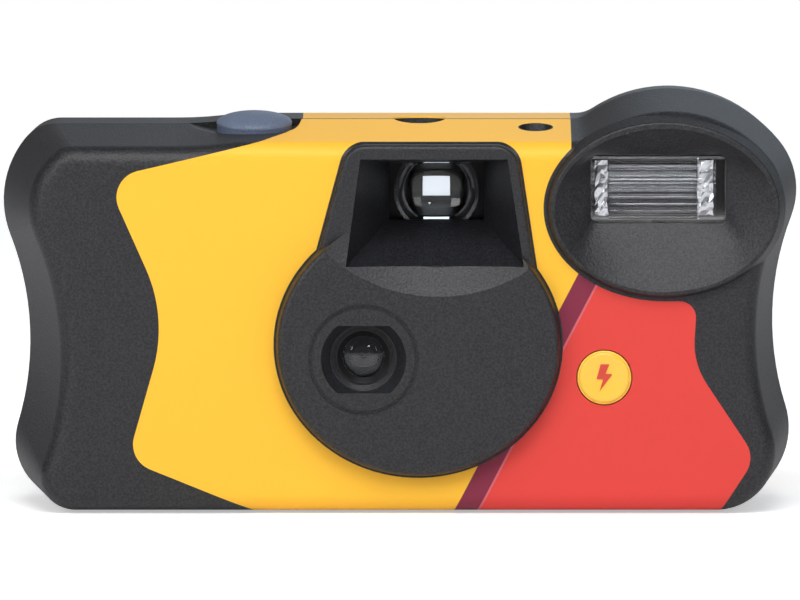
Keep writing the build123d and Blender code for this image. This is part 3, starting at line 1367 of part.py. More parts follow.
leaf_y = charge_stem_y + charge_travel
with BuildPart() as charge_leaf:
    block((charge_x - leaf_width / 2, charge_x + leaf_width / 2), (leaf_y, leaf_y + leaf_thick),
          (charge_z - leaf_width / 2, charge_z + 2 * leaf_width))
    block((charge_x - leaf_width / 2, charge_x + leaf_width / 2), (leaf_y, board_front_y),
          (charge_z + 2 * leaf_width - leaf_thick, charge_z + 2 * leaf_width))
charge_leaf.part.label = "charge_leaf"
export_step(charge_leaf.part, "parts/charge_leaf.step")

with BuildPart() as flash_capacitor:
    post(capacitor_x, capacitor_y, (battery_low_z, battery_low_z + capacitor_length), capacitor_r)
    fillet(flash_capacitor.edges().filter_by(GeomType.CIRCLE), capacitor_crimp)
    with Locations((capacitor_x, capacitor_y, battery_low_z + 4 * capacitor_crimp)):
        Torus(capacitor_r + capacitor_crimp / 2, capacitor_crimp, mode=Mode.SUBTRACT)
flash_capacitor.part.label = "flash_capacitor"
export_step(flash_capacitor.part, "parts/flash_capacitor.step")

with BuildPart() as ready_lamp:
    post(lamp_x, lamp_y, (lamp_low_z, lamp_top_z), lamp_r)
    fillet(ready_lamp.edges().group_by(Axis.Z)[-1], lamp_r * lamp_round_share)
ready_lamp.part.label = "ready_lamp"
export_step(ready_lamp.part, "parts/ready_lamp.step")

# Battery and its two bent contact strips
with BuildPart() as battery:
    battery_top_z = battery_low_z + battery_length
    post(battery_x, battery_y, (battery_low_z, battery_top_z - nub_height), battery_r)
    fillet(battery.edges().filter_by(GeomType.CIRCLE), battery_edge_r)
    post(battery_x, battery_y, (battery_top_z - 2 * nub_height, battery_top_z), nub_r)
battery.part.label = "battery"
export_step(battery.part, "parts/battery.step")

leg_x = roll_x + roll_r + 2 * run_gap + chamber_wall + fit_gap
contact_half = contact_width / 2
contact_strips = {
    "battery_minus_contact": (Side.LEFT, [(leg_x, battery_low_z + 2 * contact_width), (leg_x,
                                                                                       wall + run_gap),
                                          (battery_x + contact_half, wall + run_gap),
                                          (battery_x, battery_low_z - contact_thick - run_gap)]),
    "battery_plus_contact": (Side.RIGHT, [(leg_x, battery_top_z - 2 * contact_width),
                                          (leg_x, battery_top_z + contact_thick),
                                          (battery_x + contact_half, battery_top_z + contact_thick)]),
}
for contact_name, (inner_side, turns) in contact_strips.items():
    with BuildPart() as contact:
        with BuildSketch(Plane.XZ.offset(-battery_y + contact_half)) as strip:
            with BuildLine():
                bent = Polyline(*turns)
                offset(bent, amount=contact_thick, side=inner_side)
            make_face()
        extrude(amount=-contact_width)
    contact.part.label = contact_name
    export_step(contact.part, f"parts/{contact_name}.step")
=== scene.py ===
import bpy
import bmesh
from math import cos, pi, radians, sin
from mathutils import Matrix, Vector


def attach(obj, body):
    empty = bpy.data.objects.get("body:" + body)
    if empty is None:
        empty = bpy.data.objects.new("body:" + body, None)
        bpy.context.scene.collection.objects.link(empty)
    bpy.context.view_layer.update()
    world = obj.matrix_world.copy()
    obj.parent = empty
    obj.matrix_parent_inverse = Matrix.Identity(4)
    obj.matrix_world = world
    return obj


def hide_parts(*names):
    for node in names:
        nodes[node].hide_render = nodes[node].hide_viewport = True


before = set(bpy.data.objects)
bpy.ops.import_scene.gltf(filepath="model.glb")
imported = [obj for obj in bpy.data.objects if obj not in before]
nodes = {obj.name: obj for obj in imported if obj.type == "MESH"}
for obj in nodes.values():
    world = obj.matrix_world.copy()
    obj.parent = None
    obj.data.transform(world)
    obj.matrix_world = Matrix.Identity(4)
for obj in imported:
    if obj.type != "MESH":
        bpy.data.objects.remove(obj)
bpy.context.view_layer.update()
mm = 0.001
weld = 0.0005 * mm


# Two covers and the film door.
# Injection moulded black styrene with a fine spark-eroded grain, snapped together at a stepped
# seam that runs round the middle of the body.
def socket(group, name, kind, side, value=None):
    made = group.interface.new_socket(name, in_out=side, socket_type=kind)
    if value is not None:
        made.default_value = value
    return made


seam_half = 0.2 * mm


def seam_mask(tree, place):
    """One along the joint of the two covers, where Y is zero, and zero elsewhere."""
    split = tree.nodes.new("ShaderNodeSeparateXYZ")
    away = tree.nodes.new("ShaderNodeMath")
    away.operation = "ABSOLUTE"
    near = tree.nodes.new("ShaderNodeMapRange")
    near.inputs["From Min"].default_value = seam_half
    near.inputs["From Max"].default_value = 1.6 * seam_half
    near.inputs["To Min"].default_value = 1.0
    near.inputs["To Max"].default_value = 0.0
    tree.links.new(place, split.inputs["Vector"])
    tree.links.new(split.outputs["Y"], away.inputs[0])
    tree.links.new(away.outputs["Value"], near.inputs["Value"])
    return near.outputs["Result"]


grain = bpy.data.node_groups.new("spark eroded grain", "ShaderNodeTree")
socket(grain, "Plastic", "NodeSocketColor", "INPUT")
socket(grain, "Size", "NodeSocketFloat", "INPUT", 3200.0)
socket(grain, "Speckle", "NodeSocketFloat", "INPUT", 0.8)
socket(grain, "Sheen spread", "NodeSocketFloat", "INPUT", 0.1)
socket(grain, "Gloss", "NodeSocketFloat", "INPUT", 0.45)
socket(grain, "Colour", "NodeSocketColor", "OUTPUT")
socket(grain, "Roughness", "NodeSocketFloat", "OUTPUT")
socket(grain, "Height", "NodeSocketFloat", "OUTPUT")
parts = grain.nodes
links = grain.links
grain_in = parts.new("NodeGroupInput")
grain_out = parts.new("NodeGroupOutput")
place = parts.new("ShaderNodeTexCoord")
pits = parts.new("ShaderNodeTexNoise")
pits.inputs["Detail"].default_value = 2.0
wear = parts.new("ShaderNodeTexNoise")
wear.inputs["Scale"].default_value = 35.0
links.new(place.outputs["Object"], pits.inputs["Vector"])
links.new(place.outputs["Object"], wear.inputs["Vector"])
links.new(grain_in.outputs["Size"], pits.inputs["Scale"])
tint = parts.new("ShaderNodeMix")
tint.data_type = "RGBA"
tint.blend_type = "MULTIPLY"
links.new(grain_in.outputs["Speckle"], tint.inputs["Factor"])
shade = parts.new("ShaderNodeMapRange")
shade.inputs["From Min"].default_value = 0.35
shade.inputs["From Max"].default_value = 0.65
shade.inputs["To Min"].default_value = 0.1
shade.inputs["To Max"].default_value = 2.1
links.new(pits.outputs["Fac"], shade.inputs["Value"])
links.new(grain_in.outputs["Plastic"], tint.inputs[6])
links.new(shade.outputs["Result"], tint.inputs[7])
seam = parts.new("ShaderNodeMix")
seam.data_type = "RGBA"
seam.inputs[7].default_value = (0.002, 0.002, 0.002, 1)
links.new(seam_mask(grain, place.outputs["Object"]), seam.inputs["Factor"])
links.new(tint.outputs[2], seam.inputs[6])
links.new(seam.outputs[2], grain_out.inputs["Colour"])
gloss = parts.new("ShaderNodeMath")
gloss.operation = "MULTIPLY_ADD"
links.new(wear.outputs["Fac"], gloss.inputs[0])
links.new(grain_in.outputs["Sheen spread"], gloss.inputs[1])
links.new(grain_in.outputs["Gloss"], gloss.inputs[2])
links.new(gloss.outputs["Value"], grain_out.inputs["Roughness"])
links.new(pits.outputs["Fac"], grain_out.inputs["Height"])


def grained_plastic(name, colour, rough, size=3200.0, depth=0.00008, level=0.4, speckle=0.8):
    """A moulded plastic with the tool's spark-eroded grain."""
    finish = bpy.data.materials.new(name)
    finish.use_nodes = True
    tree = finish.node_tree
    surface = tree.nodes["Principled BSDF"]
    moulded = tree.nodes.new("ShaderNodeGroup")
    moulded.node_tree = grain
    moulded.inputs["Plastic"].default_value = (*colour, 1)
    moulded.inputs["Size"].default_value = size
    moulded.inputs["Speckle"].default_value = speckle
    moulded.inputs["Gloss"].default_value = rough
    bump = tree.nodes.new("ShaderNodeBump")
    bump.inputs["Strength"].default_value = 1.0
    bump.inputs["Distance"].default_value = depth
    tree.links.new(moulded.outputs["Colour"], surface.inputs["Base Color"])
    tree.links.new(moulded.outputs["Roughness"], surface.inputs["Roughness"])
    tree.links.new(moulded.outputs["Height"], bump.inputs["Height"])
    tree.links.new(bump.outputs["Normal"], surface.inputs["Normal"])
    surface.inputs["Specular IOR Level"].default_value = level
    return finish


def dress(finish, *names):
    """Gives whole CAD nodes one finish."""
    for name in names:
        mesh = nodes[name].data
        mesh.materials.clear()
        mesh.materials.append(finish)


cover_black = grained_plastic("cover black", (0.0125, 0.013, 0.016), 0.42, level=0.55)
dress(cover_black, "front_cover", "rear_cover", "film_door")

# Wrap label.
# One die-cut sleeve of printed and varnished paper, stuck into a shallow recess round the front,
# top, back and underside. A straight plum band parts a yellow field from a red one.
label_print = bpy.data.materials.new("printed label")
label_print.use_nodes = True
tree = label_print.node_tree
surface = tree.nodes["Principled BSDF"]
place = tree.nodes.new("ShaderNodeTexCoord")
axes = tree.nodes.new("ShaderNodeSeparateXYZ")
tree.links.new(place.outputs["Object"], axes.inputs["Vector"])
band_foot_x = 8.0 * mm
band_lean = 0.52
band_width = 3.4 * mm
line_width = 0.35 * mm
print_soft = 0.02 * mm
slant = tree.nodes.new("ShaderNodeMath")
slant.operation = "MULTIPLY_ADD"
slant.inputs[1].default_value = -band_lean
tree.links.new(axes.outputs["Z"], slant.inputs[0])
tree.links.new(axes.outputs["X"], slant.inputs[2])


def past(tree, value, edge):
    """One where a value has passed an edge, and zero before it, with a soft step of a printed dot."""
    step = tree.nodes.new("ShaderNodeMapRange")
    step.inputs["From Min"].default_value = edge - print_soft
    step.inputs["From Max"].default_value = edge + print_soft
    tree.links.new(value, step.inputs["Value"])
    return step.outputs["Result"]


def inked(tree, mask, before, after):
    """A mix of two inks by a mask; either may be a colour or a socket."""
    ink = tree.nodes.new("ShaderNodeMix")
    ink.data_type = "RGBA"
    tree.links.new(mask, ink.inputs["Factor"])
    for slot, value in ((6, before), (7, after)):
        if isinstance(value, tuple):
            ink.inputs[slot].default_value = (*value, 1)
        else:
            tree.links.new(value, ink.inputs[slot])
    return ink.outputs[2]


yellow_ink = (0.94, 0.51, 0.042)
red_ink = (0.7, 0.06, 0.05)
plum_ink = (0.22, 0.028, 0.058)
rose_ink = (0.62, 0.13, 0.16)
across = slant.outputs["Value"]
band_end_x = band_foot_x + band_width
fields = inked(tree, past(tree, across, band_foot_x), yellow_ink, plum_ink)
fields = inked(tree, past(tree, across, band_end_x), fields, rose_ink)
fields = inked(tree, past(tree, across, band_end_x + line_width), fields, red_ink)
paper = tree.nodes.new("ShaderNodeTexNoise")
paper.inputs["Scale"].default_value = 900.0
tree.links.new(place.outputs["Object"], paper.inputs["Vector"])
fibre = tree.nodes.new("ShaderNodeBump")
fibre.inputs["Distance"].default_value = 0.00001
fibre.inputs["Strength"].default_value = 0.5
tree.links.new(paper.outputs["Fac"], fibre.inputs["Height"])
tree.links.new(fibre.outputs["Normal"], surface.inputs["Normal"])
cut_edge = (0.06, 0.02, 0.008)
fields = inked(tree, seam_mask(tree, place.outputs["Object"]), fields, cut_edge)
tree.links.new(fields, surface.inputs["Base Color"])
surface.inputs["Roughness"].default_value = 0.42
surface.inputs["Specular IOR Level"].default_value = 0.22
dress(label_print, "wrap_label")

# Shutter button.
# A domed oval cap of blue-grey styrene that leans forward with the top of the camera, on a skirt
# and a flange that hold it in its guide, with a stem that trips the shutter.
def clear_selection():
    """Deselects everything and leaves edit mode."""
    if bpy.context.object and bpy.context.object.mode != "OBJECT":
        bpy.ops.object.mode_set(mode="OBJECT")
    bpy.ops.object.select_all(action="DESELECT")


def seat(piece, name, finish, body):
    """Names a finished piece, settles it at the origin and ties it to its body."""
    clear_selection()
    piece.select_set(True)
    bpy.context.view_layer.objects.active = piece
    bpy.ops.object.transform_apply(location=True, rotation=True, scale=True)
    piece.name = name
    piece.data.materials.clear()
    piece.data.materials.append(finish)
    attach(piece, body)
    return piece


def upright_post(name, x, y, low_z, top_z, radius_x, radius_y):
    """An upright oval post."""
    clear_selection()
    bpy.ops.mesh.primitive_cylinder_add(vertices=96, radius=1, depth=1, location=(x, y, (low_z + top_z) / 2))
    post = bpy.context.object
    post.name = name
    post.scale = (radius_x, radius_y, top_z - low_z)
    bpy.ops.object.transform_apply(location=True, rotation=True, scale=True)
    return post


def unite(piece, extra):
    """Joins a second shape to a piece."""
    clear_selection()
    piece.select_set(True)
    bpy.context.view_layer.objects.active = piece
    join = piece.modifiers.new("join", "BOOLEAN")
    join.operation = "UNION"
    join.solver = "EXACT"
    join.object = extra
    bpy.ops.object.modifier_apply(modifier=join.name)
    bpy.data.objects.remove(extra)


button_grey = grained_plastic("button blue grey", (0.115, 0.145, 0.215), 0.38, size=6000.0, depth=0.00001,
                              level=0.4, speckle=0.2)
button_x = -21.6 * mm
button_y = -4.5 * mm
button_rx = 5.6 * mm
button_ry = 4.1 * mm
button_lean = radians(12.0)
button_seat_z = 56.75 * mm
button_dome = 1.5 * mm
button_spare = 4.0 * mm
button_skirt_in = 0.05 * mm
button_flange_out = 0.8 * mm
button_flange_z = 53.0 * mm
button_flange_thick = 0.8 * mm
button_stem_r = 1.5 * mm
button_stem_z = 43.7 * mm
clear_selection()
bpy.ops.mesh.primitive_uv_sphere_add(segments=96, ring_count=48, radius=1,
                                     location=(button_x, button_y, button_seat_z))
button_cap = bpy.context.object
button_cap.scale = (button_rx, button_ry / cos(button_lean), button_dome)
button_cap.rotation_euler = (button_lean, 0, 0)
bpy.ops.object.transform_apply(location=True, rotation=True, scale=True)
button_top_z = button_seat_z + button_spare
skirt = upright_post("button skirt", button_x, button_y, button_flange_z, button_top_z,
                     button_rx - button_skirt_in, button_ry - button_skirt_in)
bpy.ops.object.mode_set(mode="EDIT")
bpy.ops.mesh.select_all(action="SELECT")
bpy.ops.mesh.bisect(plane_co=(button_x, button_y, button_seat_z),
                    plane_no=(0, -sin(button_lean), cos(button_lean)), use_fill=True, clear_outer=True)
bpy.ops.object.mode_set(mode="OBJECT")
unite(button_cap, skirt)
unite(button_cap, upright_post("button flange", button_x, button_y, button_flange_z,
                               button_flange_z + button_flange_thick, button_rx + button_flange_out,
                               button_ry + button_flange_out))
unite(button_cap, upright_post("button stem", button_x, button_y, button_stem_z,
                               button_flange_z + button_flange_thick / 2, button_stem_r, button_stem_r))
seat(button_cap, "shutter_button_cap", button_grey, "shutter_release")
bpy.ops.object.shade_smooth_by_angle(angle=radians(35))
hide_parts("shutter_button")

# Thumbwheel.
# Black styrene with a ribbed rim, which reaches out of a slot in the rear cover.
wheel_black = grained_plastic("wheel black", (0.012, 0.012, 0.014), 0.38, depth=0.00003)
dress(wheel_black, "thumbwheel", "sprocket")

# Flash charge button.
# A yellow push disc moulded with a rounded rim round a shallow dish, and a red bolt printed in
# the dish.
charge_x = 30.2 * mm
charge_z = 19.9 * mm
charge_face_y = -16.7 * mm
charge_yellow = bpy.data.materials.new("charge button yellow")
charge_yellow.use_nodes = True
surface = charge_yellow.node_tree.nodes["Principled BSDF"]
surface.inputs["Base Color"].default_value = (0.95, 0.55, 0.065, 1)
surface.inputs["Roughness"].default_value = 0.28
dress(charge_yellow, "flash_button")


def plain_finish(name, colour, rough, metal=0.0, level=0.5):
    """A finish of one colour."""
    finish = bpy.data.materials.new(name)
    finish.use_nodes = True
    surface = finish.node_tree.nodes["Principled BSDF"]
    surface.inputs["Base Color"].default_value = (*colour, 1)
    surface.inputs["Roughness"].default_value = rough
    surface.inputs["Metallic"].default_value = metal
    surface.inputs["Specular IOR Level"].default_value = level
    return finish


def turned(name, profile, x, z, steps, finish, body):
    """A ring or disc turned about an axis that runs front to back, from its section in radius and Y."""
    mesh = bpy.data.meshes.new(name)
    loop = [(here, (here + 1) % len(profile)) for here in range(len(profile))]
    mesh.from_pydata([(radius, y, 0) for radius, y in profile], loop, [])
    piece = bpy.data.objects.new(name, mesh)
    bpy.context.collection.objects.link(piece)
    clear_selection()
    piece.select_set(True)
    bpy.context.view_layer.objects.active = piece
    turn = piece.modifiers.new("turn", "SCREW")
    turn.axis = "Y"
    turn.steps = steps
    turn.render_steps = steps
    turn.use_merge_vertices = True
    turn.merge_threshold = weld
    bpy.ops.object.modifier_apply(modifier=turn.name)
    piece.location = (x, 0, z)
    bpy.ops.object.transform_apply(location=True)
    bpy.ops.object.mode_set(mode="EDIT")
    bpy.ops.mesh.select_all(action="SELECT")
    bpy.ops.mesh.remove_doubles(threshold=weld)
    bpy.ops.mesh.delete_loose()
    bpy.ops.mesh.select_all(action="SELECT")
    bpy.ops.mesh.normals_make_consistent(inside=False)
    bpy.ops.object.mode_set(mode="OBJECT")
    return seat(piece, name, finish, body)


def flat_print(name, corners, y, thick, finish, body):
    """A thin printed shape that stands upright, drawn from its corners in X and Z."""
    mesh = bpy.data.meshes.new(name)
    shape = bmesh.new()
    front = [shape.verts.new((x, y - thick, z)) for x, z in corners]
    back = [shape.verts.new((x, y, z)) for x, z in corners]
    shape.faces.new(front)
    shape.faces.new(back[::-1])
    for here in range(len(corners)):
        there = (here + 1) % len(corners)
        shape.faces.new((front[here], back[here], back[there], front[there]))
    bmesh.ops.recalc_face_normals(shape, faces=shape.faces)
    shape.to_mesh(mesh)
    shape.free()
    piece = bpy.data.objects.new(name, mesh)
    bpy.context.collection.objects.link(piece)
    return seat(piece, name, finish, body)


rim_section = [(0, 0.03), (0.8, 0.04), (1.6, 0.1), (2.2, 0.17), (2.7, 0.25), (2.95, 0.3), (3.1, 0.32),
               (3.3, 0.32), (3.5, 0.28), (3.65, 0.18), (3.75, 0.06), (3.76, 0.005), (0, 0.005)]
turned("charge_cap", [(radius * mm, charge_face_y - height * mm) for radius, height in rim_section],
       charge_x, charge_z, 96, charge_yellow, "flash_charger")
bpy.ops.object.shade_smooth_by_angle(angle=radians(60))
bolt_ink = plain_finish("red bolt ink", (0.62, 0.06, 0.035), 0.3)
bolt = [(0.75, 2.0), (-0.55, 2.0), (-1.15, -0.2), (-0.15, -0.2), (-0.75, -2.1), (1.15, 0.55), (0.15, 0.55)]
bolt_lift = 0.02 * mm
bolt_thick = 0.17 * mm
flat_print("charge_bolt_print", [(charge_x + x * mm, charge_z + z * mm) for x, z in bolt],
           charge_face_y - bolt_lift, bolt_thick, bolt_ink, "flash_charger")

# Taking lens and its retainer.
# A moulded acrylic meniscus lens, held by a black ring with a matt bevelled mouth.
lens_x = -5.4 * mm
axis_z = 22.8 * mm


def clear_plastic(name, tint, rough=0.03, ior=1.49):
    """A transparent moulding."""
    finish = bpy.data.materials.new(name)
    finish.use_nodes = True
    surface = finish.node_tree.nodes["Principled BSDF"]
    surface.inputs["Base Color"].default_value = (*tint, 1)
    surface.inputs["Roughness"].default_value = rough
    surface.inputs["IOR"].default_value = ior
    surface.inputs["Transmission Weight"].default_value = 1.0
    return finish


lens_clear = clear_plastic("lens acrylic", (0.93, 0.96, 1.0))
dress(lens_clear, "taking_lens", "finder_front_lens", "finder_rear_lens")
ring_black = plain_finish("retainer black", (0.008, 0.008, 0.009), 0.35, level=0.4)
dress(ring_black, "lens_retainer")

# Baffle rings of the lens recess.
# Fine steps moulded in the back half of the cone in front of the lens, which keep light off its
# walls. They start where the cone is narrower than the flats cut above and below it.
recess_front_y = -19.3 * mm
recess_front_r = 6.3 * mm
recess_back_y = -15.2 * mm
recess_back_r = 4.2 * mm
ring_count = 5
ring_pitch = 0.16 * mm
ring_height = 0.1 * mm
ring_start_r = 4.96 * mm
ring_clear = 0.02 * mm
ring_base = 0.04 * mm


def recess_y(radius):
    """The depth of the recess cone at one radius."""
    share = (recess_front_r - radius) / (recess_front_r - recess_back_r)
    return recess_front_y + share * (recess_back_y - recess_front_y)


steps = [(ring_start_r - ring_clear, recess_y(ring_start_r))]
for ring in range(ring_count):
    ledge_r = ring_start_r - ring * ring_pitch - ring_clear - ring_base
    ledge_y = recess_y(ring_start_r - ring * ring_pitch)
    steps.append((ledge_r, ledge_y))
    steps.append((ledge_r - ring_height, ledge_y))
back_r = ring_start_r - ring_count * ring_pitch
steps.append((back_r - ring_clear - ring_base, recess_y(back_r)))
steps.append((back_r - ring_clear, recess_y(back_r)))
turned("lens_baffle", steps, lens_x, axis_z, 128, cover_black, "camera")

# Viewfinder housing and chassis.
# Black mouldings inside the covers, smoother than the outside.
inner_black = plain_finish("inner black", (0.006, 0.006, 0.007), 0.5, level=0.3)
dress(inner_black, "chassis", "finder_housing", "shutter_plate")

# Flash window, reflector and tube.
# A clear moulded pane at the bottom of the bowl, with a flange behind the cover and round ribs
# along its middle that spread the light of the gas tube; a bright bent reflector stands behind.
window_clear = clear_plastic("window styrene", (0.97, 0.98, 1.0), 0.02, 1.58)
window_x = 38.2 * mm
window_z = 47.6 * mm
pane_width = 19.9 * mm
pane_height = 10.1 * mm
pane_corner = 1.1 * mm
pane_front_y = -13.55 * mm
pane_back_y = -12.3 * mm
flange_out = 1.2 * mm
flange_front_y = -12.35 * mm
flange_back_y = -11.55 * mm
rib_count = 9
rib_r = 0.8 * mm
rib_sink = 0.64 * mm
rib_length = 13.2 * mm
rib_x = 37.6 * mm


def rounded_plate(name, width, height, corner, front_y, back_y):
    """An upright plate with four rounded corners."""
    clear_selection()
    bpy.ops.mesh.primitive_cube_add(size=1, location=(window_x, (front_y + back_y) / 2, window_z))
    plate = bpy.context.object
    plate.name = name
    plate.scale = (width, back_y - front_y, height)
    bpy.ops.object.transform_apply(location=True, rotation=True, scale=True)
    bpy.ops.object.mode_set(mode="EDIT")
    bpy.ops.mesh.select_mode(type="EDGE")
    bpy.ops.mesh.select_all(action="DESELECT")
    bpy.ops.object.mode_set(mode="OBJECT")
    for edge in plate.data.edges:
        ends = [plate.data.vertices[corner_point].co for corner_point in edge.vertices]
        edge.select = ends[0].x == ends[1].x and ends[0].z == ends[1].z
    bpy.ops.object.mode_set(mode="EDIT")
    bpy.ops.mesh.bevel(offset=corner, segments=8)
    bpy.ops.mesh.select_mode(type="VERT")
    bpy.ops.object.mode_set(mode="OBJECT")
    return plate


pane = rounded_plate("pane", pane_width, pane_height, pane_corner, pane_front_y, pane_back_y)
unite(pane, rounded_plate("pane flange", pane_width + 2 * flange_out, pane_height + 2 * flange_out,
                          pane_corner + flange_out, flange_front_y, flange_back_y))
for rib in range(rib_count):
    rib_z = window_z + (rib - (rib_count - 1) / 2) * pane_height / (rib_count + 1)
    clear_selection()
    bpy.ops.mesh.primitive_cylinder_add(vertices=24, radius=rib_r, depth=rib_length, rotation=(0, pi / 2, 0),
                                        location=(rib_x, flange_back_y - rib_sink, rib_z))
    bpy.ops.object.transform_apply(location=True, rotation=True, scale=True)
    unite(pane, bpy.context.object)
seat(pane, "flash_pane", window_clear, "camera")
bpy.ops.object.shade_smooth_by_angle(angle=radians(35))
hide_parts("flash_window")
dress(window_clear, "flash_tube")
# The reflector's aluminium gets a dim grey instead of a bright one: painted shade that darkens the trough
# behind the pane.
reflector_painted_shade = plain_finish("reflector aluminium with painted shade", (0.3, 0.3, 0.31), 0.24, metal=1.0)
foil_bright = plain_finish("crumpled foil", (0.9, 0.9, 0.92), 0.25, metal=1.0)
dress(reflector_painted_shade, "flash_reflector")
foil_y = -10.3 * mm
foil_height = 8.2 * mm
foil_crumple = 0.22 * mm
foil_thick = 0.05 * mm


def foil(name, left_x, right_x, crumple, finish, seed=0):
    """An upright strip of foil behind the window, crumpled or flat."""
    clear_selection()
    bpy.ops.mesh.primitive_grid_add(x_subdivisions=4, y_subdivisions=12, size=1, rotation=(pi / 2, 0, 0),
                                    location=((left_x + right_x) / 2, foil_y, window_z))
    piece = bpy.context.object
    piece.scale = (right_x - left_x, foil_height, 1)
    bpy.ops.object.transform_apply(location=True, rotation=True, scale=True)
    bpy.ops.object.mode_set(mode="EDIT")
    bpy.ops.mesh.select_all(action="SELECT")
    bpy.ops.transform.vertex_random(offset=crumple, seed=seed)
    bpy.ops.object.mode_set(mode="OBJECT")
    plate = piece.modifiers.new("thickness", "SOLIDIFY")
    plate.thickness = foil_thick
    bpy.ops.object.modifier_apply(modifier=plate.name)
    return seat(piece, name, finish, "camera")


end_left_x = (28.9 * mm, 30.7 * mm)
end_right_x = (44.0 * mm, 46.3 * mm)
shade_x = (46.75 * mm, 48.0 * mm)
foil("reflector_end_left", *end_left_x, foil_crumple, foil_bright, 3)
foil("reflector_end_right", *end_right_x, foil_crumple, foil_bright, 5)
shade_black = plain_finish("shade black", (0.006, 0.006, 0.007), 0.5, level=0.3)
foil("reflector_shade", *shade_x, 0.0, shade_black)

# Ready lamp.
# A small neon lamp behind the hole in the top.
lamp_glass = clear_plastic("lamp glass", (1.0, 0.62, 0.4), 0.1)
dress(lamp_glass, "ready_lamp")

# Film, cassette and spools.
# Painted tin with black end caps, grey moulded spools and brown film.
tin_paint = plain_finish("tin paint", (0.62, 0.42, 0.05), 0.35, metal=0.2)
cap_paint = plain_finish("cap paint", (0.015, 0.015, 0.016), 0.3)
spool_plastic = plain_finish("spool plastic", (0.06, 0.06, 0.065), 0.45)
film_brown = plain_finish("film base", (0.09, 0.035, 0.02), 0.2)
dress(tin_paint, "cassette_shell")
dress(cap_paint, "cassette_bottom_cap", "cassette_top_cap")
dress(spool_plastic, "cassette_spool", "supply_spool")
dress(film_brown, "film_roll", "film_strip")

# Frame counter.
# A white moulded disc with printed numbers, read through the hole in the top.
counter_white = plain_finish("counter white", (0.8, 0.8, 0.77), 0.4)
dress(counter_white, "counter_wheel")
counter_ink = plain_finish("counter ink", (0.01, 0.01, 0.012), 0.4)
counter_x = 3.2 * mm
counter_y = 7.0 * mm
counter_face_z = 55.8 * mm
figure_ring_r = 4.5 * mm
figure_height = 1.9 * mm
figure_lift = 0.015 * mm
last_frame = 27
frame_step = 3
figures = []
for number in range(0, last_frame + 1, frame_step):
    turn = 2 * pi * number / (last_frame + frame_step) - pi / 2
    clear_selection()
    bpy.ops.object.text_add(location=(counter_x + figure_ring_r * cos(turn),
                                      counter_y + figure_ring_r * sin(turn), counter_face_z + figure_lift),
                            rotation=(0, 0, turn - pi / 2))
    figure = bpy.context.object
    figure.data.body = str(number)
    figure.data.size = figure_height
    figure.data.align_x = "CENTER"
    figure.data.align_y = "CENTER"
    figure.data.extrude = figure_lift / 2
    figure.data.resolution_u = 4
    bpy.ops.object.convert(target="MESH")
    figures.append(bpy.context.object)
clear_selection()
for figure in figures:
    figure.select_set(True)
bpy.context.view_layer.objects.active = figures[0]
bpy.ops.object.join()
bpy.ops.object.transform_apply(location=True, rotation=True, scale=True)
bpy.ops.object.mode_set(mode="EDIT")
bpy.ops.mesh.select_all(action="SELECT")
bpy.ops.mesh.remove_doubles(threshold=weld)
bpy.ops.mesh.normals_make_consistent(inside=False)
bpy.ops.object.mode_set(mode="OBJECT")
seat(figures[0], "counter_figures", counter_ink, "counter")

# Shutter blade, levers and springs.
# Blackened steel, pale acetal and spring wire.
blade_steel = plain_finish("blade steel", (0.012, 0.012, 0.013), 0.5, metal=0.2)
spring_steel = plain_finish("spring steel", (0.6, 0.6, 0.62), 0.25, metal=1.0)
acetal = plain_finish("acetal", (0.72, 0.71, 0.67), 0.45)
dress(blade_steel, "shutter_blade")
dress(spring_steel, "shutter_spring", "metering_spring", "driver_spring")
dress(acetal, "metering_lever", "driver_lever")

# Flash circuit.
# A brown-green paper board with a ferrite transformer, a trigger coil, small parts, a sprung
# switch leaf and the capacitor.
board_green = plain_finish("circuit board", (0.06, 0.13, 0.05), 0.4)
ferrite = plain_finish("ferrite", (0.03, 0.028, 0.026), 0.4)
contact_plate = plain_finish("plated contact", (0.75, 0.66, 0.45), 0.25, metal=1.0)
sleeve_blue = plain_finish("capacitor sleeve", (0.02, 0.025, 0.07), 0.25)
cell_sleeve = plain_finish("cell sleeve", (0.03, 0.03, 0.033), 0.25)
dress(board_green, "flash_board")
dress(ferrite, "transformer", "trigger_coil", "board_parts")
dress(contact_plate, "charge_leaf", "battery_minus_contact", "battery_plus_contact")
dress(sleeve_blue, "flash_capacitor")
dress(cell_sleeve, "battery")

# Table, light and camera.
# A plain pale table and backdrop, soft lamps from the left, right and above, and a long lens
# that looks down by five degrees.
table_size = 1.1
pip_height = 0.45 * mm
paper_glow = 0.45
bpy.ops.mesh.primitive_plane_add(size=table_size, location=(0, 0, -pip_height))
table = bpy.context.object
table.name = "table"
white_top = bpy.data.materials.new("white table")
white_top.use_nodes = True
surface = white_top.node_tree.nodes["Principled BSDF"]
surface.inputs["Base Color"].default_value = (0.92, 0.92, 0.92, 1)
surface.inputs["Roughness"].default_value = 0.8
surface.inputs["Specular IOR Level"].default_value = 0.1
top_tree = white_top.node_tree
top_rays = top_tree.nodes.new("ShaderNodeLightPath")
paper_white = top_tree.nodes.new("ShaderNodeMath")
paper_white.operation = "MULTIPLY"
paper_white.inputs[1].default_value = paper_glow
top_tree.links.new(top_rays.outputs["Is Camera Ray"], paper_white.inputs[0])
top_tree.links.new(paper_white.outputs["Value"], surface.inputs["Emission Strength"])
surface.inputs["Emission Color"].default_value = (1, 1, 1, 1)
table.data.materials.append(white_top)
room_front = 0.1
room_back = 0.28
room_fill = 0.34
world = bpy.data.worlds.new("studio")
bpy.context.scene.world = world
world.use_nodes = True
sky = world.node_tree
air = sky.nodes["Background"]
rays = sky.nodes.new("ShaderNodeLightPath")
mirrored = sky.nodes.new("ShaderNodeMath")
mirrored.operation = "MAXIMUM"
sky.links.new(rays.outputs["Is Glossy Ray"], mirrored.inputs[0])
sky.links.new(rays.outputs["Is Transmission Ray"], mirrored.inputs[1])
way = sky.nodes.new("ShaderNodeTexCoord")
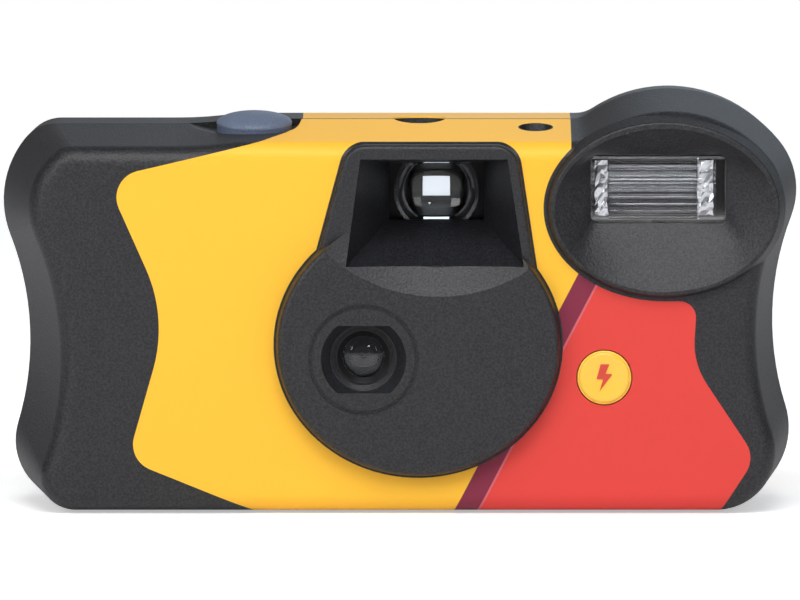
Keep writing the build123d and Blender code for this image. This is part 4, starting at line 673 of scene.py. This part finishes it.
compass = sky.nodes.new("ShaderNodeSeparateXYZ")
sky.links.new(way.outputs["Generated"], compass.inputs["Vector"])
far = sky.nodes.new("ShaderNodeMix")
far.inputs["A"].default_value = room_back
far.inputs["B"].default_value = 1.0
sky.links.new(rays.outputs["Is Transmission Ray"], far.inputs["Factor"])
room = sky.nodes.new("ShaderNodeMapRange")
room.inputs["From Min"].default_value = 0.55
room.inputs["From Max"].default_value = 0.85
room.inputs["To Min"].default_value = room_front
sky.links.new(far.outputs["Result"], room.inputs["To Max"])
sky.links.new(compass.outputs["Y"], room.inputs["Value"])
lit = sky.nodes.new("ShaderNodeMix")
lit.inputs["A"].default_value = room_fill
sky.links.new(mirrored.outputs["Value"], lit.inputs["Factor"])
sky.links.new(room.outputs["Result"], lit.inputs["B"])
level = sky.nodes.new("ShaderNodeMix")
level.inputs["B"].default_value = 1.0
sky.links.new(rays.outputs["Is Camera Ray"], level.inputs["Factor"])
sky.links.new(lit.outputs["Result"], level.inputs["A"])
sky.links.new(level.outputs["Result"], air.inputs["Strength"])
air.inputs["Color"].default_value = (1, 1, 1, 1)


def soft_lamp(name, place, aim, size, power, colour=(1, 1, 1)):
    """A square soft lamp that looks at a point."""
    lamp = bpy.data.lights.new(name, "AREA")
    lamp.size = size
    lamp.energy = power
    lamp.color = colour
    stand = bpy.data.objects.new(name, lamp)
    bpy.context.collection.objects.link(stand)
    stand.location = place
    stand.rotation_euler = (Vector(aim) - Vector(place)).to_track_quat("-Z", "Y").to_euler()


middle = (0, 0, 0.03)
soft_lamp("left softbox", (-0.5, -0.55, 0.35), middle, 0.35, 1.65)
soft_lamp("right softbox", (0.5, -0.55, 0.3), middle, 0.3, 0.6)
soft_lamp("top softbox", (0.0, -0.42, 0.55), middle, 0.4, 2.8)
soft_lamp("back softbox", (0.2, 0.6, 0.3), middle, 0.5, 0.5, (0.7, 0.85, 1.0))
soft_lamp("window light", (0.2, -0.8, 0.36), middle, 0.06, 0.15)

camera_reach = 3.0
look_down = radians(5.0)
framed_width = 118.2 * mm
sensor_width = 36.0
aim = Vector((0, -16.5 * mm, 31.4 * mm))
lens = bpy.data.cameras.new("camera")
lens.sensor_width = sensor_width
lens.lens = sensor_width * camera_reach / framed_width
eye = bpy.data.objects.new("camera", lens)
bpy.context.collection.objects.link(eye)
eye.location = aim + Vector((0, -cos(look_down), sin(look_down))) * camera_reach
eye.rotation_euler = (pi / 2 - look_down, 0, 0)
bpy.context.scene.camera = eye
bpy.context.scene.view_settings.view_transform = "Standard"
